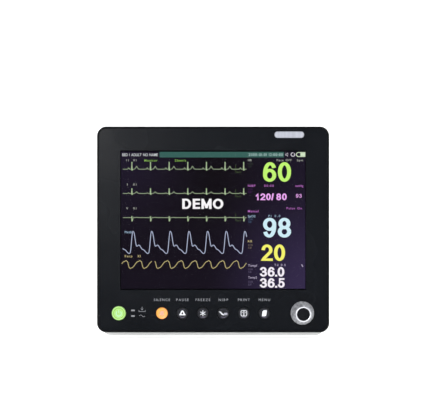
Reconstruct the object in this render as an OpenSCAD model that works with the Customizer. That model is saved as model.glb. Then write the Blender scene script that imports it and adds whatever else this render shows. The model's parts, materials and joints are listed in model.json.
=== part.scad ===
// Bedside patient monitor with a 12.1-inch display.
// Z is up, the display faces -Y, and the origin lies on the table under the middle of the object.

/* [Front panel] */
// Width of the black front panel
panel_w = 309; // [305:1:330]
// Height of the black front panel
panel_h = 274; // [272:1:300]
// Corner radius of the front panel
panel_corner = 12.5; // [10.5:0.5:20]
// Depth of the front bezel, from its face to its back edge
bezel_depth = 14; // [13.8:0.1:18]
// Width of the bezel's rim round the printed overlay
rim_w = 2.6; // [2:0.1:4]

/* [Display] */
// Width of the display's active area
view_w = 246; // [240:1:250]
// Height of the display's active area
view_h = 184.5; // [180:0.5:186]
// Height of the display's centre above the panel's bottom edge
view_up = 149.3; // [147:0.1:152]

/* [Keys] */
// Height of the key row above the panel's bottom edge
key_up = 25.6; // [24:0.1:26.5]
// Distance between neighbouring function keys
key_pitch = 27.25; // [26:0.05:28]
// Position of the first function key across the panel
first_key_x = -68.1; // [-70:0.1:-67]
// Position of the power key across the panel
power_key_x = -125.5; // [-128:0.1:-124]
// Diameter of a function key
key_d = 15.1; // [14:0.1:16.2]
// Diameter of the power key
power_key_d = 18.5; // [18:0.1:20]
// Travel of a key
key_travel = 0.8; // [0.4:0.1:0.9]

/* [Knob] */
// Position of the rotary knob across the panel
knob_x = 118.5; // [117:0.5:121]
// Height of the knob's axis above the panel's bottom edge
knob_up = 26.1; // [24:0.1:27]
// Diameter of the knob at its base
knob_d = 31; // [28:0.1:33]
// Diameter of the knob at its tip
knob_tip_d = 21; // [20:0.1:24]
// Distance that the knob's tip stands in front of the panel
knob_reach = 21; // [18:0.5:24]

/* [Alarm light] */
// Position of the alarm light across the panel
alarm_x = 101.4; // [98:0.1:103]
// Height of the alarm light above the panel's bottom edge
alarm_up = 263.1; // [262:0.1:264]
// Length of the alarm light
alarm_w = 39.5; // [36:0.5:42]
// Height of the alarm light
alarm_h = 8.5; // [8:0.5:9.5]

/* [Rear housing] */
// Width of the rear housing
housing_w = 296; // [292:1:300]
// Distance that the housing reaches below the front panel
housing_drop = 5.1; // [4:0.1:6]
// Distance that the housing's top lies below the panel's top
housing_top_gap = 4; // [3:0.5:5]
// Corner radius of the housing, seen from the front
housing_corner = 10; // [8:0.5:12]
// Distance from the panel's face to the housing's back wall
housing_back = 146; // [144:1:160]
// Wall thickness of the housing
wall = 2.8; // [2.4:0.1:3]
// Depth of the terminal recess in the back wall
back_recess = 15.5; // [15:0.5:20]

/* [Carry handle] */
// Width of the handle across its arms
handle_w = 184; // [160:1:184]
// Thickness of the handle
handle_t = 14; // [12:0.5:14]
// Distance from the handle's pivot to the middle of its grip
handle_reach = 56; // [50:1:58]

/* [Feet and trolley mount] */
// Height of the rubber feet
foot_h = 2.5; // [2:0.1:4]
// Diameter of the rubber feet
foot_d = 18; // [14:1:24]
// Spacing of the trolley mount's threads across the monitor
mount_w = 120; // [100:5:150]
// Spacing of the trolley mount's threads along the monitor's depth
mount_l = 60; // [50:5:75]
// Bore of the trolley mount's threaded inserts
mount_bore_d = 4.2; // [3.3:0.1:4.2]

/* [Hidden] */
$fn = 64;

// Overcut of every hole, so that its mouth is clean
eps = 0.5;
// Distance from the panel's face to the rearmost point, which is the fuse caps and the post
back_reach = housing_back + 3;
face_y = knob_reach - (knob_reach + back_reach) / 2;
panel_z = foot_h + housing_drop;
panel_mid_z = panel_z + panel_h / 2;
housing_z = foot_h;
housing_top_z = panel_z + panel_h - housing_top_gap;
housing_h = housing_top_z - housing_z;
housing_mid_z = housing_z + housing_h / 2;
// Radii of the housing's rear edges, seen from the side and from above
side_corner = 8;
plan_corner = 12;

// Layers of the front, as depths behind the panel's face
overlay_front = 0.3;
overlay_back = 1.0;
window_back = 3.0;
plate_back = 4.0;
lcd_back = 12.5;
bracket_back = 13.7;
board_front = 9.5;
board_t = 1.6;
switch_front = 8.9;
keypad_plug_x = -35;
keypad_plug_up = 20.5;
skirt_t = 2.5;

window_gap = 0.5;
window_lip = 5;
window_w = view_w + 2 * window_gap;
window_h = view_h + 2 * window_gap;
lcd_w = 279;
lcd_h = 209;
bracket_w = 260;
bracket_bottom = 38;
bracket_top = 260;
bracket_screw_x = 60;
bracket_screw_up = [41, 257.5];
keypad_screw_x = [-97, -0.3, 93, 138];
alarm_screw_x = [alarm_x - 24.5, alarm_x + 24.5];
alarm_board_front = 7.5;
alarm_board_t = 1.2;
closing_screw_x = 134;
closing_screw_up = [10, 260];
closing_head = 26;
screw_r = 1.5;

key_gap = 0.3;
key_proud = 1.1;
key_flange = 1.35;
function function_key_x(i) = first_key_x + i * key_pitch;

indicator_x = -106.7;
indicator_up = [21.8, 29.3];
indicator_w = 4.8;
indicator_h = 1.8;

// Handle recess in the housing's top
recess_depth = 20;
recess_floor_z = housing_top_z - recess_depth;
recess_side_gap = 4;
recess_w = handle_w + 2 * recess_side_gap;
recess_front = 60;
handle_arm_w = 12;
handle_grip_w = 16;
pivot_back = recess_front + 12;
pivot_z = recess_floor_z + 9;
handle_pin_r = 3;
running_gap = 0.05;
slip_gap = 0.1;

// Terminal recess in the back wall
terminal_x = [-42, 124];
terminal_up = [26, 74];
terminal_floor = housing_back - back_recess;
terminal_ledge = 4;
panel_sheet = 1.5;

// Left side: sensor sockets
sensor_back = [34, 84];
sensor_up = [36, 216];
sensor_mid = (sensor_back[0] + sensor_back[1]) / 2;
sensor_face_x = -(housing_w / 2 - wall);

// Right side: recorder and battery
recorder_back = [42, 114];
recorder_up = [156.5, 234];
recorder_in_x = 94;
side_door_t = 2.5;
door_barrel_r = 4.5;
door_pin_r = 1.5;
battery_back = [42, 114];
battery_up = [56.5, 94];
battery_in_x = 2;
tub_t = 2;
pin_x = housing_w / 2 - door_barrel_r;

// Depth behind the panel's face as a Y coordinate, and height above the panel's bottom edge as Z
function fy(back) = face_y + back;
function fz(up) = panel_z + up;

// Drawing aids

// Rectangle with true round corners, centred
module rounded_rect(w, h, r) {
    square([w - 2 * r, h], center = true);
    square([w, h - 2 * r], center = true);
    for (sx = [-1, 1], sy = [-1, 1]) {
        translate([sx * (w / 2 - r), sy * (h / 2 - r)]) circle(r);
    }
}

// Long hole with round ends, centred
module pill(w, h) {
    square([w - h, h], center = true);
    for (s = [-1, 1]) translate([s * (w - h) / 2, 0]) circle(h / 2);
}

// A drawing of the front view (x, z), made solid from depth a to depth b
module slab(a, b) {
    translate([0, fy(b), 0]) rotate([90, 0, 0]) linear_extrude(b - a) children();
}

// A drawing of the side view (y, z), made solid from x = a to x = b
module side_slab(a, b) {
    translate([a, 0, 0]) rotate([90, 0, 90]) linear_extrude(b - a) children();
}

// Rod along Y, from depth a to depth b
module rod_y(x, up, r, a, b) {
    translate([x, fy(b), fz(up)]) rotate([90, 0, 0]) cylinder(r = r, h = b - a);
}

// Rod along X, from x = a to x = b
module rod_x(back, z, r, a, b) {
    translate([a, fy(back), z]) rotate([0, 90, 0]) cylinder(r = r, h = b - a);
}

// Rectangular bar along Y, centred on x and up, from depth a to depth b
module bar_y(x, up, w, h, a, b) {
    slab(a, b) translate([x, fz(up)]) square([w, h], center = true);
}

// The same shape on both sides of the middle
module both_sides() {
    children();
    mirror([1, 0, 0]) children();
}

// Block from x, depth and height ranges above the panel's bottom edge
module block(x, back, up) {
    translate([x[0], fy(back[0]), fz(up[0])])
        cube([x[1] - x[0], back[1] - back[0], up[1] - up[0]]);
}

// A ring drawn as radius and depth, turned round a knob or key axis that points along Y
module turned(x, up) {
    translate([x, fy(0), fz(up)]) rotate([-90, 0, 0]) rotate_extrude() children();
}

// Pan-head screw along Y, whose head sits at depth a and whose tip reaches depth b
module screw_y(x, up, head, tip) {
    rod_y(x, up, screw_r, tip, head);
    rod_y(x, up, 2.75, head, head + 1.8);
}

// Front assembly

module panel_outline(inset) {
    translate([0, panel_mid_z])
        rounded_rect(panel_w - 2 * inset, panel_h - 2 * inset, panel_corner - inset);
}

module view_outline(w, h, r) {
    translate([0, fz(view_up)]) rounded_rect(w, h, r);
}

// Holes that the overlay and the bezel share: keys, alarm light and indicators
module control_holes() {
    translate([power_key_x, fz(key_up)]) circle(power_key_d / 2 + key_gap);
    for (i = [0:5]) translate([function_key_x(i), fz(key_up)]) circle(key_d / 2 + key_gap);
    translate([alarm_x, fz(alarm_up)]) pill(alarm_w + 0.4, alarm_h + 0.4);
    for (up = indicator_up) translate([indicator_x, fz(up)])
        rounded_rect(indicator_w + key_gap, indicator_h + key_gap, 0.6);
}

module front_bezel() {
    color([0.09, 0.1, 0.11]) difference() {
        union() {
            difference() {
                slab(0, bezel_depth) panel_outline(0);
                slab(plate_back, bezel_depth + eps) panel_outline(skirt_t);
            }
            both_sides() for (up = closing_screw_up)
                rod_y(closing_screw_x, up, 4, plate_back - eps, closing_front);
            both_sides() for (up = bracket_screw_up)
                rod_y(bracket_screw_x, up, 3, plate_back - eps, lcd_back);
            for (x = keypad_screw_x) rod_y(x, key_up, 2.5, plate_back - eps, board_front);
            for (x = alarm_screw_x) rod_y(x, alarm_up, 2.5, plate_back - eps, alarm_board_front);
        }
        slab(-eps, overlay_back) panel_outline(rim_w);
        slab(-eps, plate_back + eps) view_outline(window_w, window_h, 1);
        slab(0, window_back) view_outline(window_w + 2 * window_lip, window_h + 2 * window_lip, 3);
        slab(-eps, plate_back + eps) control_holes();
        rod_y(knob_x, knob_up, 5.1, -eps, plate_back + eps);
        both_sides() for (up = closing_screw_up) rod_y(closing_screw_x, up, screw_r, 5, 12);
        both_sides() for (up = bracket_screw_up) rod_y(bracket_screw_x, up, screw_r, 6, 13);
        for (x = keypad_screw_x) rod_y(x, key_up, screw_r, 4.8, 10);
        for (x = alarm_screw_x) rod_y(x, alarm_up, screw_r, 4.8, 8);
    }
}

module front_overlay() {
    color([0.13, 0.14, 0.16]) slab(overlay_front, overlay_back) difference() {
        panel_outline(rim_w + 0.1);
        view_outline(window_w, window_h, 1);
        control_holes();
        translate([knob_x, fz(knob_up)]) circle(8.6);
    }
}

module display_window() {
    slip = 0.2;
    color([0.6, 0.65, 0.7, 0.3]) slab(overlay_back, window_back)
        view_outline(window_w + 2 * (window_lip - slip), window_h + 2 * (window_lip - slip), 3 - slip);
}

module lcd_panel() {
    color([0.08, 0.06, 0.11]) slab(plate_back + 0.4, lcd_back - 0.9) view_outline(lcd_w - 6, lcd_h - 6, 1);
}

module lcd_frame() {
    color([0.7, 0.7, 0.72]) difference() {
        slab(plate_back, lcd_back) view_outline(lcd_w, lcd_h, 2);
        slab(plate_back + 0.4, lcd_back - 0.9) view_outline(lcd_w - 6, lcd_h - 6, 1);
        slab(plate_back - eps, plate_back + 1) view_outline(window_w + 1, window_h + 1, 1);
    }
}

module lcd_bracket() {
    bracket_mid = (bracket_bottom + bracket_top) / 2;
    color([0.75, 0.76, 0.77]) difference() {
        slab(lcd_back, bracket_back) translate([0, fz(bracket_mid)])
            rounded_rect(bracket_w, bracket_top - bracket_bottom, 4);
        both_sides() slab(lcd_back - eps, bracket_back + eps) translate([bracket_screw_x, fz(view_up)])
            rounded_rect(96, 150, 8);
        both_sides() for (up = bracket_screw_up)
            rod_y(bracket_screw_x, up, screw_r + 0.2, lcd_back - eps, bracket_back + eps);
    }
}

module inner_screws() {
    color([0.8, 0.8, 0.82]) {
        both_sides() for (up = bracket_screw_up) screw_y(bracket_screw_x, up, bracket_back, 6.5);
        for (x = keypad_screw_x) screw_y(x, key_up, board_front + board_t, 5.2);
        for (x = alarm_screw_x) screw_y(x, alarm_up, alarm_board_front + alarm_board_t, 5.2);
    }
}

module alarm_lens() {
    color([0.8, 0.8, 0.86]) {
        slab(-0.3, plate_back) translate([alarm_x, fz(alarm_up)]) pill(alarm_w, alarm_h);
        slab(plate_back, plate_back + 1) translate([alarm_x, fz(alarm_up)])
            pill(alarm_w + 3, alarm_h + 2.4);
    }
}

module alarm_board() {
    led_front = 6.6;
    led_pitch = 7;
    color([0.1, 0.35, 0.2]) difference() {
        union() {
            slab(alarm_board_front, alarm_board_front + alarm_board_t)
                translate([alarm_x, fz(alarm_up)]) rounded_rect(55, 11.4, 1);
            for (i = [-2:2])
                bar_y(alarm_x + i * led_pitch, alarm_up, 3.2, 2.8, led_front, alarm_board_front);
        }
        for (x = alarm_screw_x) rod_y(x, alarm_up, screw_r + 0.1, 7, 9);
    }
}

module indicator_light_pipes() {
    color([0.75, 0.76, 0.78]) for (up = indicator_up) {
        slab(overlay_front - 0.1, 8.6) translate([indicator_x, fz(up)])
            rounded_rect(indicator_w, indicator_h, 0.5);
        bar_y(indicator_x, up, 8, 4.4, plate_back, plate_back + 0.8);
    }
}

module keypad_board() {
    color([0.1, 0.35, 0.2]) difference() {
        union() {
            block([-141, 143], [board_front, board_front + board_t], [15, 37]);
            // Indicator lamps and the ribbon connector
            for (up = indicator_up) bar_y(indicator_x, up, 3.2, 1.6, switch_front, board_front + eps);
            bar_y(keypad_plug_x, keypad_plug_up, 30, 5, board_front + board_t - eps, 13.8);
        }
        for (x = keypad_screw_x)
            rod_y(x, key_up, screw_r + 0.1, board_front - eps, board_front + board_t + eps);
        rod_y(knob_x, knob_up, 5, board_front - eps, board_front + board_t + eps);
    }
}

module key_switches() {
    color([0.2, 0.2, 0.22]) for (x = concat([power_key_x], [for (i = [0:5]) function_key_x(i)])) {
        bar_y(x, key_up, 6.2, 6.2, switch_front, board_front);
        rod_y(x, key_up, 1.75, switch_front - 0.5, switch_front + 0.1);
    }
}

// A key cap with the flange that keeps it in the bezel and the stem that reaches its switch
module key(x, d) {
    cap_r = d / 2;
    turned(x, key_up) {
        difference() {
            union() {
                translate([0, -key_proud]) square([cap_r, plate_back + key_gap + key_proud]);
                translate([0, plate_back + key_gap]) square([cap_r + key_flange, 1]);
                square([2.5, 7.2]);
            }
            translate([cap_r - 0.35, -key_proud - 0.01]) polygon([[0, 0], [1, 0], [1, 1], [0.35, 0.36]]);
        }
    }
}

module power_key() {
    color([0.35, 0.7, 0.3]) key(power_key_x, power_key_d);
}

module silence_key() {
    color([0.9, 0.5, 0.1]) key(function_key_x(0), key_d);
}

module pause_key() {
    color([0.12, 0.13, 0.15]) key(function_key_x(1), key_d);
}

module freeze_key() {
    color([0.12, 0.13, 0.15]) key(function_key_x(2), key_d);
}

module nibp_key() {
    color([0.12, 0.13, 0.15]) key(function_key_x(3), key_d);
}

module print_key() {
    color([0.12, 0.13, 0.15]) key(function_key_x(4), key_d);
}

module menu_key() {
    color([0.12, 0.13, 0.15]) key(function_key_x(5), key_d);
}

// Rotary encoder with a push switch, and its knob

bush_front = -4;
slider_r = 4;
shaft_r = 3;

module encoder_body() {
    color([0.6, 0.61, 0.63]) difference() {
        union() {
            bar_y(knob_x, knob_up, 13.2, 13.2, plate_back + 0.2, board_front);
            rod_y(knob_x, knob_up, 5, bush_front, plate_back + eps);
        }
        rod_y(knob_x, knob_up, slider_r + running_gap, bush_front - eps, 6);
        rod_y(knob_x, knob_up, 4.9, 5, board_front + eps);
    }
}

module encoder_nut() {
    color([0.72, 0.72, 0.7]) difference() {
        slab(-1.2, overlay_back) translate([knob_x, fz(knob_up)]) circle(r = 8, $fn = 6);
        rod_y(knob_x, knob_up, 5, -2, 2);
    }
}

module encoder_slider() {
    color([0.85, 0.85, 0.8]) turned(knob_x, knob_up) difference() {
        union() {
            translate([0, -3.5]) square([slider_r, 11.5]);
            translate([0, 5.5]) square([slider_r + 0.5, 1]);
        }
        translate([0, -4]) square([shaft_r + running_gap, 13]);
    }
}

module encoder_shaft() {
    color([0.75, 0.75, 0.77]) turned(knob_x, knob_up) {
        translate([0, -17]) square([shaft_r, 25.7]);
        translate([0, 8.4]) square([shaft_r + 0.8, 0.6]);
    }
}

knob_base = -1;
knob_top = -knob_reach;
knob_base_r = knob_d / 2;
knob_tip_r = knob_tip_d / 2;
knob_inlay_r = 8.1;

module knob_body() {
    color([0.66, 0.68, 0.7]) turned(knob_x, knob_up) difference() {
        polygon([[0, knob_base], [knob_base_r, knob_base], [knob_base_r, knob_base - 2.2],
            [knob_tip_r + 1.3, knob_top + 2], [knob_tip_r, knob_top], [0, knob_top]]);
        translate([0, -7]) square([12, 7]);
        translate([0, -17]) square([shaft_r, 12]);
        translate([0, knob_top - eps]) square([knob_inlay_r, 1.4 + eps]);
    }
}

module knob_cap() {
    color([0.07, 0.07, 0.08]) turned(knob_x, knob_up)
        translate([0, knob_top + 0.3]) square([knob_inlay_r, 1.1]);
}

// Middle frame, gasket and rear housing

closing_front = 11.5;
gasket_h = 1;
gasket_w = 2.5;
gasket_corner = 6;

module mid_frame() {
    opening = [36, 261];
    color([0.16, 0.17, 0.18]) difference() {
        slab(closing_front, bezel_depth) panel_outline(skirt_t);
        slab(closing_front - eps, bezel_depth + eps) translate([0, fz((opening[0] + opening[1]) / 2)])
            rounded_rect(286, opening[1] - opening[0], 6);
        bar_y(keypad_plug_x, keypad_plug_up, 34, 9, closing_front - eps, bezel_depth + eps);
        both_sides() for (up = closing_screw_up)
            rod_y(closing_screw_x, up, screw_r + 0.1, closing_front - eps, bezel_depth + eps);
        for (x = keypad_screw_x) rod_y(x, key_up, 3.5, closing_front - eps, bezel_depth + eps);
    }
}

module seal_gasket() {
    color([0.1, 0.1, 0.1]) slab(bezel_depth, bezel_depth + gasket_h) gasket_ring();
}

// Ring that lies on the housing's front under the middle frame and, at the bottom, under the bezel
module gasket_ring() {
    difference() {
        gasket_outline(0);
        gasket_outline(gasket_w);
    }
}

module gasket_outline(inset) {
    bottom = panel_z + 2 + inset;
    top = housing_top_z - 1 - inset;
    translate([0, (bottom + top) / 2])
        rounded_rect(housing_w - 2 - 2 * inset, top - bottom, gasket_corner - inset);
}

module housing_outline(inset) {
    translate([0, housing_mid_z])
        rounded_rect(housing_w - 2 * inset, housing_h - 2 * inset, housing_corner - inset);
}

// The housing from above: square at the front, rounded at the back
module housing_plan(inset) {
    half = housing_w / 2 - inset;
    r = plan_corner - inset;
    front = fy(bezel_depth);
    back = fy(housing_back) - inset;
    translate([-half, front]) square([2 * half, back - r - front]);
    translate([r - half, front]) square([2 * (half - r), back - front]);
    for (s = [-1, 1]) translate([s * (half - r), back - r]) circle(r);
}

// The housing from the side: square at the front, rounded at the back
module housing_side(inset) {
    bottom = housing_z + inset;
    top = housing_top_z - inset;
    r = side_corner - inset;
    front = fy(bezel_depth);
    back = fy(housing_back) - inset;
    translate([front, bottom]) square([back - r - front, top - bottom]);
    translate([front, bottom + r]) square([back - front, top - bottom - 2 * r]);
    for (z = [bottom + r, top - r]) translate([back - r, z]) circle(r);
}

module housing_solid(inset) {
    intersection() {
        slab(bezel_depth + inset, housing_back - inset) housing_outline(inset);
        translate([0, 0, housing_z]) linear_extrude(housing_h) housing_plan(inset);
        side_slab(-housing_w / 2, housing_w / 2) housing_side(inset);
    }
}

// Walls that line the recesses and carry the screws, before they are trimmed to the housing's shape
module housing_inner_walls() {
    translate([-recess_w / 2 - wall, fy(recess_front - wall), recess_floor_z - wall])
        cube([recess_w + 2 * wall, housing_back - recess_front + wall, recess_depth + wall]);
    both_sides() rod_x(pivot_back, pivot_z, 7, recess_w / 2, recess_w / 2 + 12);
    block([terminal_x[0] - wall, terminal_x[1] + wall], [terminal_floor - wall, housing_back],
        [terminal_up[0] - wall, terminal_up[1] + wall]);
    both_sides() for (up = closing_screw_up) rod_y(closing_screw_x, up, 6.5, bezel_depth, housing_back);
    mount_places() cylinder(r = 5.5, h = 11);
}

mount_mid_back = 80;
insert_h = 8.5;

// The four threads of the trolley mount, in the housing's underside
module mount_places() {
    both_sides() for (s = [-1, 1])
        translate([mount_w / 2, fy(mount_mid_back + s * mount_l / 2), housing_z]) children();
}

module housing_cuts() {
    // Opening behind the display
    slab(bezel_depth - eps, bezel_depth + wall + eps) translate([0, fz(142)]) rounded_rect(250, 240, 8);
    slab(bezel_depth - eps, bezel_depth + gasket_h) gasket_ring();
    // Handle recess, open at the back, and the seats of the handle's pins
    recess_end = housing_back + 20;
    translate([0, fy((recess_front + recess_end) / 2), recess_floor_z]) linear_extrude(recess_depth + eps)
        rounded_rect(recess_w, recess_end - recess_front, 5);
    both_sides() rod_x(pivot_back, pivot_z, handle_pin_r + running_gap, recess_w / 2 - 1, recess_w / 2 + 9);
    // Terminal recess
    block(terminal_x, [terminal_floor, housing_back + eps], terminal_up);
    block([terminal_x[0] + terminal_ledge, terminal_x[1] - terminal_ledge],
        [terminal_floor - wall - eps, terminal_floor + eps],
        [terminal_up[0] + terminal_ledge, terminal_up[1] - terminal_ledge]);
    // Wells of the closing screws
    both_sides() for (up = closing_screw_up) {
        rod_y(closing_screw_x, up, 4, closing_head, housing_back + eps);
        rod_y(closing_screw_x, up, screw_r + 0.1, bezel_depth - eps, closing_head + 1);
    }
    // Left side: opening for the sensor sockets
    side_slab(-housing_w / 2 - eps, sensor_face_x + eps) sensor_outline(0);
    // Right side: openings of the recorder and the battery
    block([housing_w / 2 - wall - eps, housing_w / 2 + eps], recorder_back, recorder_up);
    block([housing_w / 2 - wall - eps, housing_w / 2 + eps], battery_back, battery_up);
    // Trolley mount
    mount_places() translate([0, 0, -eps]) cylinder(r = insert_r, h = insert_h + eps);
    back_wall_holes();
}

insert_r = 3.2;
speaker_x = -84;
speaker_up = 190;
grille_pitch = 5.2;
vent_x = 84;
vent_up = 190;
vent_pitch = 6.5;

// Speaker grille and vent slots in the back wall
module back_wall_holes() {
    slab(housing_back - wall - eps, housing_back + eps) {
        for (i = [-4:4], j = [-4:4]) if (i * i + j * j < 18)
            translate([speaker_x + grille_pitch * i, fz(speaker_up + grille_pitch * j)]) circle(1.4);
        for (i = [-4:4]) translate([vent_x, fz(vent_up + vent_pitch * i)]) pill(56, 2.6);
    }
}

module rear_housing() {
    color([0.85, 0.86, 0.86]) difference() {
        union() {
            difference() {
                housing_solid(0);
                housing_solid(wall);
            }
            intersection() {
                housing_solid(0);
                housing_inner_walls();
            }
        }
        housing_cuts();
    }
}

module housing_screws() {
    color([0.75, 0.75, 0.77]) both_sides() for (up = closing_screw_up) {
        rod_y(closing_screw_x, up, screw_r, 6, closing_head);
        rod_y(closing_screw_x, up, 2.9, closing_head, closing_head + 2.4);
    }
}

// Carry handle, folded down into its recess, and its pins

module carry_handle() {
    grip_back = pivot_back + handle_reach;
    outer_x = handle_w / 2;
    inner_x = outer_x - handle_arm_w;
    color([0.3, 0.31, 0.33]) difference() {
        union() {
            both_sides() {
                rod_x(pivot_back, pivot_z, 8, inner_x, outer_x);
                side_slab(inner_x, outer_x) translate([fy((pivot_back + grip_back) / 2), pivot_z])
                    square([handle_reach, handle_t - 1], center = true);
            }
            side_slab(-outer_x, outer_x) translate([fy(grip_back), pivot_z])
                rounded_rect(handle_grip_w, handle_t, 5);
        }
        both_sides() rod_x(pivot_back, pivot_z, handle_pin_r + running_gap, inner_x - eps, outer_x + eps);
    }
}

module handle_pins() {
    color([0.75, 0.75, 0.77]) both_sides() {
        rod_x(pivot_back, pivot_z, handle_pin_r, handle_w / 2 - handle_arm_w + 1, recess_w / 2 + 8);
        // Spacer collar between the arm and the recess wall
        rod_x(pivot_back, pivot_z, 6, handle_w / 2 + 0.4, recess_w / 2);
    }
}

module feet() {
    foot_x = 120;
    color([0.12, 0.12, 0.12]) both_sides() for (back = [54, 128])
        translate([foot_x, fy(back), 0]) cylinder(r = foot_d / 2, h = foot_h);
}

module mount_inserts() {
    color([0.8, 0.65, 0.3]) mount_places() difference() {
        cylinder(r = insert_r, h = insert_h);
        translate([0, 0, -eps]) cylinder(r = mount_bore_d / 2, h = insert_h + 2 * eps);
    }
}

// Chassis and electronics

chassis_front = 30;
chassis_back = 31.5;

module chassis_plate() {
    color([0.75, 0.76, 0.77]) {
        difference() {
            block([-122, 88], [chassis_front, chassis_back], [20, 240]);
            for (up = [48, 200])
                block([-100, -70], [chassis_front - eps, chassis_back + eps], [up, up + 24]);
        }
        // Posts that carry the plate on the display bracket
        for (s = [-80, 76], up = [52, 232]) rod_y(s, up, 3.5, bracket_back, chassis_front);
    }
}

module main_board() {
    color([0.08, 0.3, 0.18]) {
        block([-70, 66], [24, 25.6], [70, 220]);
        for (s = [-62, 58], up = [80, 210]) rod_y(s, up, 3, 25.6, chassis_front);
        block([-22, 18], [21, 24], [130, 170]);
        block([-60, -30], [22.4, 24], [180, 200]);
        block([34, 62], [19, 24], [80, 96]);
    }
}

module parameter_board() {
    color([0.08, 0.3, 0.18]) {
        block([-112, -14], [38, 39.6], [100, 226]);
        for (x = [-106, -20], up = [106, 220]) rod_y(x, up, 3, chassis_back, 38);
        block([-104, -64], [39.6, 47], [160, 216]);
        block([-56, -24], [39.6, 44], [120, 150]);
    }
}

module power_supply() {
    color([0.7, 0.71, 0.72]) difference() {
        block([-6, 80], [chassis_back, 76], [104, 226]);
        for (i = [0:7]) block([4 + 9 * i, 8 + 9 * i], [72, 77], [120, 210]);
        block([-4, 78], [chassis_back + 2, 74], [106, 224]);
    }
}

module nibp_pump() {
    color([0.25, 0.26, 0.28]) {
        rod_y(-92, 30, 13.5, chassis_back, 78);
        rod_y(-92, 30, 10, 78, 96);
        rod_x(88, fz(30), 2.4, -84, -76);
        block([-60, -34], [chassis_back, 54], [20, 46]);
        rod_x(44, fz(33), 2.4, -70, -58);
    }
}

nibp_up = 104;

// Air tube from the pump to the cuff port
module nibp_tube() {
    tube_r = 2.2;
    port_x = sensor_face_x + 15;
    color([0.85, 0.85, 0.8]) {
        rod_x(88, fz(30), tube_r, -76, -66);
        translate([-66, fy(88), fz(30)]) sphere(tube_r);
        translate([-66, fy(88), fz(30)]) cylinder(r = tube_r, h = nibp_up - 30);
        translate([-66, fy(88), fz(nibp_up)]) sphere(tube_r);
        translate([-66, fy(88), fz(nibp_up)]) rotate([90, 0, 0]) cylinder(r = tube_r, h = 88 - sensor_mid);
        translate([-66, fy(sensor_mid), fz(nibp_up)]) sphere(tube_r);
        rod_x(sensor_mid, fz(nibp_up), tube_r, port_x, -66);
    }
}

// Battery compartment

// A depth or height range, made wider by d at both ends, or narrower where d is negative
function wider(range, d) = [range[0] - d, range[1] + d];

// Height of the hinge pin of a door whose opening spans the heights up
function hinge_up(up) = up[0] + door_barrel_r + 0.5;

// Open-sided tub behind an opening of the right wall, with a flange inside the wall
module side_tub(back, up, inner_x) {
    flange_x = housing_w / 2 - wall;
    difference() {
        union() {
            block([inner_x, flange_x], back, up);
            block([flange_x - tub_t, flange_x], wider(back, 4), wider(up, 4));
        }
        block([inner_x + tub_t, flange_x + eps], wider(back, -tub_t), wider(up, -tub_t));
        // Seat of the door's hinge pin, and room for its barrel
        rod_y(pin_x, hinge_up(up), door_pin_r, back[0] - 5, back[1] + 5);
        rod_y(pin_x, hinge_up(up), door_barrel_r + 0.5, back[0] + tub_t, back[1] - tub_t);
    }
}

// Door that drops open about a pin along its bottom edge. Beside the barrel its corners are cut
// away, so that they clear the tub's walls when the door swings.
module drop_door(back, up, top) {
    barrel = wider(back, -tub_t - 0.4);
    difference() {
        union() {
            block([housing_w / 2 - side_door_t, housing_w / 2], wider(back, -0.8),
                [hinge_up(up) + door_barrel_r, top]);
            block([pin_x, housing_w / 2], barrel, [hinge_up(up) - 1, hinge_up(up) + door_barrel_r]);
            rod_y(pin_x, hinge_up(up), door_barrel_r, barrel[0], barrel[1]);
        }
        rod_y(pin_x, hinge_up(up), door_pin_r + running_gap, back[0], back[1]);
    }
}

module battery_tray() {
    color([0.8, 0.81, 0.82]) side_tub(battery_back, battery_up, battery_in_x);
}

module battery_pack() {
    color([0.15, 0.17, 0.22]) {
        block([battery_in_x + tub_t, 134], wider(battery_back, -3),
            [battery_up[0] + tub_t, battery_up[0] + 30]);
        // Pull tab
        block([134, 136], [70, 86], [battery_up[0] + 8, battery_up[0] + 22]);
    }
}

module battery_door() {
    color([0.85, 0.86, 0.86]) drop_door(battery_back, battery_up, battery_up[1] - 0.8);
}

module door_pins() {
    color([0.75, 0.75, 0.77]) for (door = [[battery_back, battery_up], [recorder_back, recorder_up]]) {
        rod_y(pin_x, hinge_up(door[1]), door_pin_r, door[0][0] - 2, door[0][1] + 2);
    }
}

// Strip-chart recorder

recorder_door_top = 221;
roll_x = 118;
roll_up = 184;
spindle_r = 5.95;
platen_x = 138.6;
platen_up = 214;
latch_back = [68, 88];
latch_up = [225, 231];

module recorder_bay() {
    color([0.78, 0.79, 0.8]) difference() {
        union() {
            side_tub(recorder_back, recorder_up, recorder_in_x);
            // Fixed strip above the door
            block([housing_w / 2 - wall - tub_t, housing_w / 2 - 0.5], wider(recorder_back, -0.4),
                [recorder_door_top + 1, recorder_up[1] - 0.4]);
            // Stub axles that the paper roll turns on
            rod_y(roll_x, roll_up, spindle_r, recorder_back[0] + tub_t, 60);
            rod_y(roll_x, roll_up, spindle_r, 96, recorder_back[1] - tub_t);
        }
        block([recorder_in_x + tub_t, housing_w / 2 + eps], wider(latch_back, 0.4), wider(latch_up, 0.4));
    }
}

module recorder_door() {
    ear_x = [133, housing_w / 2 - side_door_t];
    color([0.85, 0.86, 0.86]) difference() {
        union() {
            drop_door(recorder_back, recorder_up, recorder_door_top);
            for (back = [[46, 49], [107, 110]]) block(ear_x, back, [platen_up - 4.5, platen_up + 4.5]);
        }
        rod_y(platen_x, platen_up, door_pin_r + running_gap, 45, 111);
        // Finger notch in the door's top edge
        block([housing_w / 2 - 1.2, housing_w / 2 + eps], [70, 86],
            [recorder_door_top - 5, recorder_door_top + eps]);
    }
}

module platen_roller() {
    color([0.15, 0.15, 0.16]) {
        rod_y(platen_x, platen_up, door_pin_r, 46.2, 109.8);
        rod_y(platen_x, platen_up, 5, 50, 106);
    }
}

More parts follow.
